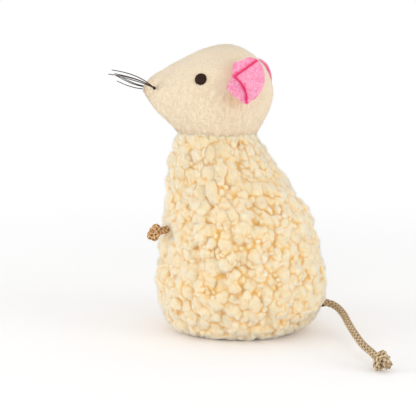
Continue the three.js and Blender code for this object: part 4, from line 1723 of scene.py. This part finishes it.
@dataclass
class Head:
    """Plush head: two panels sewn along the middle, full of filling, tucked into the fleece."""

    segments: int = 176
    rings: int = 150
    tuck: float = 4.5
    ear_corner: Pair = (-0.03, 0.42)
    fuzz: Strands = field(
        default_factory=lambda: Strands(count=20000, length=(0.25, 0.6), half_width=0.024, lean=0.6, seed=22)
    )
    seam_width: float = 0.45
    seam_depth: float = 0.38
    seam_shade: float = 0.55
    pucker_width: float = 1.6
    pucker_depth: float = 0.07
    dimples: tuple[tuple[Pair, float, float], ...] = ((HEAD.eye, 2.9, 0.55), (HEAD.whisker, 1.5, 0.35))
    dimple_shade: float = 0.12
    ear_hollow: Pair = (5.0, 0.5)
    ear_shadow: Pair = (3.0, 0.8)
    rays: float = 15.0
    ray_depth: float = 0.2
    ray_shade: float = 0.16
    neck_shade: float = 0.3
    gathers: float = 26.0
    gather_depth: float = 0.16
    gather_shade: float = 0.14
    lumps: Pairs = ((8.5, 0.28), (2.6, 0.09))
    blend_low: float = 71.5
    blend_high: float = 80.0

    def build(self) -> None:
        """Makes the head and its nap."""
        bm = bmesh.new()
        mapped_ball(bm, self.segments, self.rings, self.lay)
        weld(bm)
        head = make_piece(bm, "plush_head", Finishes.PLUSH)
        crease = self.sculpt(head)
        write_shade(head, Shade.CREASE, crease)
        ground, out = points_of(head), normals_of(head)
        shown = ground[:, 2] > HEAD.seam + 1.0
        fuzz = self.fuzz.build(
            "plush_fuzz", ground[shown], out[shown], Finishes.PLUSH_FUZZ, Shade.CREASE, crease[shown]
        )
        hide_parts("head_panel_left", "head_panel_right")
        for obj in (head, fuzz):
            low, high = ((0.0, HEAD.nod_y * MM, z * MM) for z in (self.blend_low, self.blend_high))
            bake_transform(obj, "torso", "head", low, high)
            LOG.info("%s bends between torso and head with %d faces", obj.name, len(obj.data.polygons))

    def lay(self, ball: Array) -> Array:
        """Lays the points of a ball on the head: its north pole is the nose.

        Args:
            ball: Points on a ball of radius one.

        Returns:
            Points on the head.
        """
        v = np.arccos(np.clip(ball[:, 2], -1, 1)) / np.pi
        angle = np.arctan2(ball[:, 0], ball[:, 1])
        share = 1.0 - np.clip((v - 0.04) / 0.86, 0.0, 1.0)
        points = HEAD.points(share, angle, np.zeros(len(v)))
        nose = np.array([0.0, *HEAD.on_side(HEAD.nose)])
        cap = np.clip(v / 0.04, 0.0, 1.0)[:, None]
        points = np.where(cap < 1.0, nose + (points - nose) * np.sin(cap * np.pi / 2), points)
        down = np.clip((v - 0.9) / 0.1, 0.0, 1.0)
        middle = np.array([0.0, HEAD.nod_y])
        shrink = 1.0 - 0.12 * ease(0.0, 0.5, down) - 0.88 * ease(0.5, 1.0, down)
        points[:, :2] = middle + (points[:, :2] - middle) * shrink[:, None]
        points[:, 2] -= self.tuck * ease(0.0, 0.6, down)
        return points

    def sculpt(self, head: bpy.types.Object) -> Array:
        """Shapes the seam, the dimples where things are sewn on, and the gathers, and measures where shade is
        painted.

        Args:
            head: The head, which is changed.

        Returns:
            How much painted shade each point gets, from 0 to 1.
        """
        p, out = points_of(head), normals_of(head)
        far = np.abs(p) * (1, 0, 0) + p * (0, 1, 1)
        seam = bell(p[:, 0], self.seam_width)
        pucker = np.sin(p[:, 1] * 2.6 + p[:, 2] * 2.2) * bell(p[:, 0], self.pucker_width)
        depth = -self.seam_depth * seam + self.pucker_depth * pucker
        # Painted shade along the seam's groove, in the dimples and the wrinkles below the ear, under the
        # ear's corner, at the neck and in the gathers.
        crease = self.seam_shade * seam
        for place, size, deep in self.dimples:
            near = bell(np.linalg.norm(far - HEAD.spot(place)[0], axis=1), size)
            depth -= deep * near
            crease += self.dimple_shade * near
        off = far - HEAD.spot(HEAD.ear)[0]
        angle = np.arctan2(off[:, 2], off[:, 1])
        apart = np.linalg.norm(off, axis=1)
        rays = np.sin(angle * self.rays + 1.3 * noise_at(p, 5.0, 2))
        rays = rays * ease(5.0, 8.0, apart) * ease(17.0, 9.0, apart)
        below = ease(0.2, -0.5, np.sin(angle)) * ease(0.6, -0.2, off[:, 1] / 12.0)
        depth += self.ray_depth * rays * below
        crease += self.ray_shade * np.clip(-rays, 0, 1) * below
        width, deep = self.ear_hollow
        depth -= deep * bell(apart, width)
        width, dark = self.ear_shadow
        shadow = bell(np.linalg.norm(far - HEAD.spot(self.ear_corner)[0], axis=1), width)
        crease += dark * shadow * (0.65 + 0.35 * np.sin(angle * 19.0))
        crease += self.neck_shade * bell(p[:, 2] - HEAD.seam - 1.4, 0.9)
        turn = np.arctan2(p[:, 0], p[:, 1] - HEAD.nod_y)
        gather = np.sin(turn * self.gathers + 2.2 * noise_at(p, 6.0, 3)) * ease(81.5, 74.0, p[:, 2])
        depth += self.gather_depth * gather
        crease += self.gather_shade * np.clip(-gather, 0, 1)
        for seed, (size, deep) in enumerate(self.lumps, 5):
            depth += deep * noise_at(p, size, seed)
        move_points(head, p + out * depth[:, None])
        return np.clip(crease, 0.0, 1.0)


@dataclass
class Ears:
    """Felt ears: a cut disc pinched at the sewn edge, so that its upper and lower edges fold forward."""

    edge_top: Pair = (-0.016, 0.82)
    edge_low: Pair = (-0.053, 0.54)
    right_drop: float = 2.8
    back_shade: float = 0.6
    length: float = 13.0
    height: float = 17.3
    outline: Pairs = (
        (0.006, 0.1), (0.03, 0.25), (0.196, 0.307), (0.407, 0.411), (0.6, 0.42), (0.739, 0.36), (0.9, 0.19),
        (0.99, 0), (0.995, -0.17), (0.889, -0.393), (0.76, -0.535), (0.604, -0.574), (0.366, -0.493),
        (0.15, -0.4), (0.035, -0.3), (-0.004, -0.12),
    )
    middle: Pair = (0.46, -0.06)
    fold_up: Pairs = ((-0.2, 0.0), (0.116, 0.005), (0.645, 0.372), (0.76, 0.452))
    fold_low: Pairs = (
        (-0.2, 0.08), (0.119, -0.004), (0.324, -0.125), (0.475, -0.258), (0.572, -0.374), (0.618, -0.484),
        (0.645, -0.6),
    )
    stand: float = 0.4
    flare: float = 17.0
    fold_lift: float = 0.45
    half_thick: float = 0.65
    root: float = 0.4
    dive: float = 2.6
    dive_from: float = 0.7
    crease_width: float = 0.62
    crease_wander: float = 0.3
    crease_depth: float = 0.55
    cup: float = 0.35
    cols: int = 120
    rows: int = 68

    def frame(self, side: Side) -> tuple[Array, Array, Array, Array]:
        """Places an ear on the head.

        Args:
            side: Side that the ear is on.

        Returns:
            Its pinch point and its directions back, up and out, all as on the left side.
        """
        drop = np.array([0.0, self.right_drop / HEAD.height if side is Side.RIGHT else 0.0])
        places = (HEAD.ear, self.edge_top, self.edge_low)
        base, top, low = (HEAD.spot(np.array(place) - drop)[0] for place in places)
        up = unit(top - low)
        flare = np.array([math.sin(math.radians(self.flare)), math.cos(math.radians(self.flare)), 0.0])
        back = unit(flare - up * np.dot(flare, up))
        return base, back, up, np.cross(back, up)

    def beyond(self, flat: Array, fold: Pairs) -> tuple[Array, Array]:
        """Measures places on the ear from a fold.

        Args:
            flat: Places in the ear's plane.
            fold: The fold's points as shares of the ear.

        Returns:
            How far each place is past the fold, away from the middle, and its plain distance.
        """
        size = np.array([self.length, self.height])
        line, inner = np.array(fold) * size, np.array(self.middle) * size
        side, apart = np.zeros(len(flat)), np.full(len(flat), 1e9)
        for a, b in zip(line, line[1:]):
            way = b - a
            gap = polyline_distance(flat, np.array([a, b]))
            sign = np.sign(way[0] * (flat[:, 1] - a[1]) - way[1] * (flat[:, 0] - a[0]))
            home = np.sign(way[0] * (inner[1] - a[1]) - way[1] * (inner[0] - a[0]))
            closer = gap < apart
            side = np.where(closer, -sign * home, side)
            apart = np.where(closer, gap, apart)
        return np.maximum(0.0, apart * side), apart

    def build(self, side: Side) -> None:
        """Makes the ear of one side.

        Args:
            side: Side that it is made for.
        """
        size = np.array([self.length, self.height])
        rim = route(np.array(self.outline) * size, self.cols, closed=True)
        rim[:, 0] = np.where(rim[:, 0] < 0.9, rim[:, 0] - self.root, rim[:, 0])
        middle = np.array(self.middle) * size
        base, back, up, out = self.frame(side)
        shades: list[Array] = []

        def lay(u: Array, v: Array) -> Array:
            """Lays the felt and notes how much painted shade it gets.

            Args:
                u: Shares round the rim.
                v: Shares across the front face, the rim and the back face.

            Returns:
                Points of the felt.
            """
            k = np.rint(u * self.cols).astype(int) % self.cols
            face = np.where(v < 0.5, 1.0, -1.0)
            reach = (1.0 - np.abs(2 * v - 1)) ** 0.8
            flat = middle + (rim[k] - middle) * reach[:, None]
            edge = np.clip((reach - 0.9) / 0.1, 0, 1)
            thick = self.half_thick * np.sqrt(np.maximum(0.0, 1 - edge**2))
            above, gap_up = self.beyond(flat, self.fold_up)
            below, gap_low = self.beyond(flat, self.fold_low)
            width = self.crease_width + self.crease_wander * noise_at(lifted(flat, 0.0), 2.2, 12)
            valley = bell(np.minimum(gap_up, gap_low), width)
            valley *= 0.25 + 0.75 * ease(0.0, 0.13, flat[:, 0] / self.length)
            cup = 0.9 * (np.linalg.norm((flat - middle) / size, axis=1) * 2) ** 2
            lift = self.stand + self.fold_lift * (above + below) - self.crease_depth * valley + self.cup * cup
            lift = lift - self.dive * np.maximum(0.0, self.dive_from - flat[:, 0])
            # Painted shade: in the fold valleys on the front face, and on the back face short of its rim.
            shades.append(np.where(face > 0, valley, self.back_shade * (1.0 - edge)))
            lift = lift + face * thick
            felt = base + np.outer(flat[:, 0], back) + np.outer(flat[:, 1], up) + np.outer(lift, out)
            return side.place(felt)

        bm = new_mesh(Shade.CREASE)
        made = mapped_grid(bm, self.cols, self.rows, lay)
        tinted(bm, made, Shade.CREASE, shades[0])
        weld(bm)
        name = side.name.lower()
        ear = make_piece(bm, f"ear_felt_{name}", Finishes.FELT)
        settle(ear, f"{name}_ear", "pink_felt", f"ear_{name}")


@dataclass
class Eyes:
    """Embroidered eyes: rows of satin stitch over a low dome."""

    diameter: float = 4.2
    height: float = 1.0
    stitches: int = 15
    sunk: float = 0.62
    overlap: float = 1.25

    def build(self, side: Side) -> None:
        """Makes the eye of one side.

        Args:
            side: Side that it is made for.
        """
        spot, out = (side.place(v) for v in HEAD.spot(HEAD.eye))
        along = unit(np.cross(out, (0.0, 0.3, 1.0)))
        across = np.cross(out, along)
        radius = self.diameter / 2
        bm = new_mesh(Shade.YARN)
        pick = random.Random(31)
        for k in range(self.stitches):
            off = (2 * (k + 0.5) / self.stitches - 1) * radius * 0.97
            half = math.sqrt(max(radius**2 - off**2, 0.04))
            t = np.linspace(-1, 1, 13)
            r2 = (off**2 + (t * half) ** 2) / radius**2
            rise = self.height * np.sqrt(np.maximum(0.0, 1.03 - r2)) - self.sunk
            line = spot + np.outer(t * half, along) + off * across + np.outer(rise, out)
            wide = np.full(len(t), radius / self.stitches * self.overlap)
            stitch = add_tube(bm, line, np.tile(out, (len(t), 1)), wide, wide, 7)
            tinted(bm, stitch, Shade.YARN, pick.uniform(0.3, 0.8))
        weld(bm)
        name = side.name.lower()
        settle(make_piece(bm, f"eye_stitches_{name}", Finishes.EYE), "head", "eye_thread", f"eye_{name}")


@dataclass
class Whiskers:
    """Dark threads knotted into the snout, with tips given outwards, ahead and up from the knot."""

    knot_diameter: float = 1.5
    half_width: float = 0.18
    coil_radius: float = 0.42
    coil_half_width: float = 0.2
    bows: dict[Side, tuple[float, ...]] = field(default_factory=lambda: {
        Side.LEFT: (2.9, 2.2, 0.9, 1.7),
        Side.RIGHT: (-4.2, -4.5, -3.6),
    })
    tips: dict[Side, Triples] = field(default_factory=lambda: {
        Side.LEFT: ((6.5, 14.1, 6.9), (8.5, 15.0, 5.6), (10.5, 12.0, 5.2), (9.5, 12.6, 5.9)),
        Side.RIGHT: ((6.4, 16.6, 2.0), (7.2, 16.9, 0.2), (8.4, 15.6, 1.6)),
    })

    def build(self, side: Side) -> None:
        """Makes the whiskers of one side.

        Args:
            side: Side that it is made for.
        """
        spot, out = HEAD.spot(HEAD.whisker)
        start = spot + out * (self.knot_diameter / 2 + 0.1)
        bm = new_mesh(Shade.YARN)
        for k, (outwards, ahead, up) in enumerate(self.tips[side]):
            tip = start + (outwards, -ahead, up)
            bow = start + 0.33 * (tip - start) + (0.0, 0.0, self.bows[side][k])
            t = np.linspace(-0.04, 1.0, 26)[:, None]
            line = (1 - t) ** 2 * start + 2 * t * (1 - t) * bow + t**2 * tip
            wide = self.half_width * np.interp(t[:, 0], (0, 0.7, 1), (1.0, 0.95, 0.75))
            thread = add_tube(bm, side.place(line), np.tile((1.0, 0, 0), (len(line), 1)), wide, wide, 6)
            tinted(bm, thread, Shade.YARN, 0.35 + 0.12 * k)
        turn = np.linspace(0, 4 * np.pi, 60)
        wrap = unit(np.cross(out, (0.0, 0.0, 1.0)))
        other = np.cross(out, wrap)
        coil = start + self.coil_radius * (np.outer(np.cos(turn), wrap) + np.outer(np.sin(turn), other))
        coil = coil + np.outer(np.linspace(-0.55, 0.35, len(turn)), out)
        thick = np.full(len(turn), self.coil_half_width)
        ring = add_tube(bm, side.place(coil), np.tile(side.place(out), (len(turn), 1)), thick, thick, 6)
        tinted(bm, ring, Shade.YARN, 0.3)
        weld(bm)
        name = side.name.lower()
        piece = make_piece(bm, f"whisker_threads_{name}", Finishes.WHISKER)
        settle(piece, "head", "whisker_thread", f"whiskers_{name}")


# Base, flap, pouch and filling


@dataclass
class Base:
    """Cloth base with the opening for the catnip, and the flap that closes it."""

    thick: float = 4.5
    inset: float = 5.1
    flap_half: float = 7.5
    flap_front: float = 3.0
    flap_back: float = 14.0
    flap_low: float = 0.4
    flap_thick: float = 0.9
    flap_corner: float = 2.4
    recess: float = 0.3
    ledge: float = 3.4
    mouth: Triple = (6.0, 7.3, 12.5)
    corner: float = 1.5
    stitch: float = 1.5
    count: int = 144

    def outline(self, gap: float, corner: float) -> Array:
        """Gives the flap's outline, wider by a gap all round, with corners of a given radius."""
        wide, front, back = self.flap_half + gap, self.flap_front - gap, self.flap_back + gap
        return rounded_box(wide, front, back, corner, self.count)

    def stitches(self, bm: bmesh.types.BMesh, flat: Array, z: float, seed: int) -> None:
        """Adds a row of stitches along an outline, under a surface.

        Args:
            bm: Mesh that the stitches go into.
            flat: The outline.
            z: Height of the surface.
            seed: Seed of the stitches' shades.
        """
        line = route(flat, max(8, int(len(flat) / 3)), closed=True)
        pick = random.Random(seed)
        for a, b in zip(line, np.roll(line, -1, axis=0)):
            t = np.linspace(0.14, 0.86, 5)[:, None]
            dip = -0.12 * np.sin(np.pi * t)
            thread = np.hstack([a + (b - a) * t, z + dip])
            wide = np.full(5, 0.14)
            made = add_tube(bm, thread, np.tile((0.0, 0.0, 1.0), (5, 1)), wide, wide, 5)
            tinted(bm, made, Shade.YARN, pick.uniform(0.7, 1.0))

    def build(self) -> None:
        """Makes the base panel and its row of stitches."""
        angle = 2 * np.pi * np.arange(self.count) / self.count
        zs = np.zeros(self.count)
        outer = BODY.points(zs, angle, zs + self.inset)[:, :2]
        tucked = BODY.points(zs, angle, zs + self.inset - 0.8)[:, :2]
        opening = self.outline(self.recess, self.corner + self.recess)
        half, front, back = self.mouth
        mouth = rounded_box(half, front, back, self.corner, self.count)
        rings = [
            lifted(tucked, 1.6), lifted(outer, 0.55), lifted(outer * 0.96, 0.25),
            lifted((outer + opening) / 2, 0.2), lifted(opening * (1.06, 1.0), 0.25), lifted(opening, 0.7),
            lifted(opening, self.ledge), lifted(mouth, self.ledge), lifted(mouth, self.thick),
            lifted(tucked, self.thick), lifted(tucked, 1.6),
        ]
        bm = new_mesh(Shade.YARN)
        ring_wall(bm, rings, 4)
        weld(bm)
        panel = settle(make_piece(bm, "base_cloth", Finishes.BASE), "torso", "base_cloth", "base_panel")
        bm = new_mesh(Shade.YARN)
        self.stitches(bm, self.outline(self.stitch, self.corner + self.stitch), 0.25, 41)
        weld(bm)
        settle(make_piece(bm, "base_stitches", Finishes.TAIL), "torso", "base_cloth")
        self.flap()

    def flap(self) -> None:
        """Makes the cloth flap with its sewn root and a row of stitches."""
        low, high = self.flap_low, self.flap_low + self.flap_thick
        edge, inner = self.outline(0.0, self.flap_corner), self.outline(-0.3, self.flap_corner - 0.3)
        middle = np.tile([(0.0, (self.flap_front + self.flap_back) / 2)], (self.count, 1))
        rings = [
            lifted(middle, low), lifted(inner, low), lifted(edge, low + 0.25), lifted(edge, high - 0.25),
            lifted(inner, high), lifted(middle, high), lifted(middle, low),
        ]
        bm = new_mesh(Shade.YARN)
        ring_wall(bm, rings, 4)
        weld(bm)
        for vert in bm.verts:
            thin = 1.0 - 0.8 * ease(self.flap_back - 1.1, self.flap_back - 0.3, vert.co.y / MM)
            vert.co.z = (low + (vert.co.z / MM - low) * thin) * MM
        cloth = make_piece(bm, "flap_cloth", Finishes.BASE)
        settle(cloth, "flap", "base_cloth", "flap_panel")
        bm = new_mesh(Shade.YARN)
        self.stitches(bm, self.outline(-1.0, self.corner), low + 0.02, 42)
        weld(bm)
        settle(make_piece(bm, "flap_stitches", Finishes.TAIL), "flap", "base_cloth")


@dataclass
class Inside:
    """Pouch of catnip, its leaves, and the filling of the body and the head."""

    pouch_half: float = 7.0
    pouch_front: float = 6.3
    pouch_back: float = 13.5
    pouch_low: float = 4.8
    pouch_top: float = 38.8
    wall: float = 0.8
    corner: float = 1.5
    gap: float = 0.3
    flakes: int = 900
    count: int = 96

    def build(self) -> None:
        """Makes everything that the covers hide."""
        self.pouch()
        self.leaves()
        self.body_filling()
        self.head_filling()
        for node, finish in (
            ("loop_strip", Finishes.TAPE), ("hook_strip", Finishes.TAPE), ("tail_anchor", Finishes.TAIL),
            ("arm_anchor_left", Finishes.PAW), ("arm_anchor_right", Finishes.PAW),
        ):
            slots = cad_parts[node].data.materials
            slots.clear()
            slots.append(finish.material())
            LOG.info("%s keeps its solid with %s", node, finish.name)

    def tower(self, bm: bmesh.types.BMesh, rings: Sequence[Pair]) -> None:
        """Adds a closed form that runs through boxes with round corners.

        Args:
            bm: Mesh that the form goes into.
            rings: Inset and height of each box.
        """
        flats = []
        for inset, z in rings:
            shrink = min(inset, (self.pouch_back - self.pouch_front) / 2 - 0.01)
            flat = rounded_box(
                max(self.pouch_half - inset, 0.01), self.pouch_front + shrink, self.pouch_back - shrink,
                min(self.corner, max(self.pouch_half - inset, 0.01) / 2, 1.4), self.count,
            )
            flats.append(lifted(flat, z))
        ring_wall(bm, flats, 3)

    def pouch(self) -> None:
        """Makes the cotton pouch: a bag with puffed sides, open below."""
        low, top, wall = self.pouch_low, self.pouch_top, self.wall
        bm = bmesh.new()
        self.tower(bm, [
            (wall, low + 0.1), (0.2, low), (0.0, low + 2), (-0.2, (low + top) / 2), (0.0, top - 2),
            (0.6, top - 0.3), (7.2, top), (7.2, top - wall), (wall + 0.6, top - wall - 0.3),
            (wall, top - 2 - wall), (wall - 0.2, (low + top) / 2), (wall, low + 2), (wall, low + 0.1),
        ])
        weld(bm)
        settle(make_piece(bm, "pouch_cotton", Finishes.LINING), "torso", "cotton_lining", "catnip_pouch")

    def leaves(self) -> None:
        """Makes the catnip: a packed mass with loose flakes over it."""
        low, top, wall = self.pouch_low, self.pouch_top, self.wall + 0.3
        bm = new_mesh(Shade.LEAF)
        self.tower(bm, [(7.2, low), (wall + 0.4, low), (wall, low + 0.6), (wall, top - 2), (7.2, top - wall)])
        weld(bm)
        tinted(bm, bm.verts[:], Shade.LEAF, 0.25)
        dice = random.Random(51)
        half, front, back = self.pouch_half - 1.6, self.pouch_front + 1.5, self.pouch_back - 1.5
        for _ in range(self.flakes):
            size = dice.uniform(0.3, 0.8)
            x, y, z = dice.uniform(-half, half), dice.uniform(front, back), low + dice.uniform(-0.25, 0.1)
            axis = unit(np.array([dice.gauss(0, 1), dice.gauss(0, 1), dice.gauss(0, 0.35)]))
            t = np.linspace(-1, 1, 4)
            line = (x, y, z) + np.outer(t * size, axis) + np.outer(0.12 * t**2, (0, 0, 1.0))
            slim = dice.choice((0.12, 0.4, 0.5)) * size
            wide = slim * np.array([0.3, 1.0, 0.9, 0.2])
            flake = add_tube(bm, line, np.tile((0.1, 0.0, 1.0), (4, 1)), wide, np.full(4, 0.05), 4)
            tinted(bm, flake, Shade.LEAF, dice.choice((0.0, 0.1, 0.3, 0.5, 0.95)))
        bmesh.ops.recalc_face_normals(bm, faces=bm.faces[:])
        settle(make_piece(bm, "catnip_leaves", Finishes.HERB), "torso", "catnip", "catnip_fill")

    def body_filling(self) -> None:
        """Makes the body's fibre filling, which leaves room for the pouch."""
        angle = 2 * np.pi * np.arange(self.count) / self.count
        low, top = self.pouch_low + self.gap, self.pouch_top + self.gap
        front, back = self.pouch_front - self.gap, self.pouch_back + self.gap
        pocket = rounded_box(self.pouch_half + self.gap, front, back, self.corner, self.count)
        inset = np.full(self.count, 5.6)
        middle = np.tile([(0.0, (front + back) / 2)], (self.count, 1))
        rings = [lifted(middle, top), lifted(pocket, top), lifted(pocket, low)]
        for z in np.linspace(low, BODY.height - 2.0, 24):
            rings.append(BODY.points(np.full(self.count, z), angle, inset))
        rings.append(rings[-1] * (0, 0, 1) + (0, HEAD.nod_y, 0))
        bm = bmesh.new()
        ring_wall(bm, rings, 1)
        weld(bm)
        self.fluff(make_piece(bm, "body_filling", Finishes.FILL), "torso", "body_stuffing")

    def head_filling(self) -> None:
        """Makes the head's fibre filling."""
        bm = bmesh.new()
        mapped_ball(bm, 72, 60, self.lay_head)
        weld(bm)
        self.fluff(make_piece(bm, "head_filling", Finishes.FILL), "head", "head_stuffing")

    @staticmethod
    def lay_head(ball: Array) -> Array:
        """Lays the points of a ball inside the head: its north pole is towards the nose.

        Args:
            ball: Points on a ball of radius one.

        Returns:
            Points of the filling.
        """
        v = np.arccos(np.clip(ball[:, 2], -1, 1)) / np.pi
        turn = np.arctan2(ball[:, 0], ball[:, 1])
        share = 0.82 * (1 - v) + 0.04
        shrink = np.sin(np.pi * np.clip(v, 0.0, 1.0)) ** 0.35
        plain = HEAD.points(share, turn, np.full(len(v), 2.6))
        chin, crown, _ = HEAD.sections(share)
        middle = np.column_stack([np.zeros(len(v)), (chin + crown) / 2])
        return middle + (plain - middle) * shrink[:, None]

    @staticmethod
    def fluff(obj: bpy.types.Object, body: str, node: str) -> None:
        """Ruffles a filling and seats it.

        Args:
            obj: The filling, which is changed.
            body: Body that it moves with.
            node: Solid that it replaces.
        """
        p, out = points_of(obj), normals_of(obj)
        move_points(obj, p - out * (0.25 + 0.25 * noise_at(p, 4.0, 9))[:, None])
        settle(obj, body, "fibre_fill", node)


def main() -> None:
    """Builds the scene piece by piece."""
    logging.basicConfig(level=logging.INFO, format="%(message)s")
    Studio().build()
    Tail().build()
    for side in Side:
        Paws().build(side)
    Fleece().build()
    Head().build()
    for side in Side:
        Ears().build(side)
        Eyes().build(side)
        Whiskers().build(side)
    Base().build()
    Inside().build()


if __name__ == "__main__":
    main()
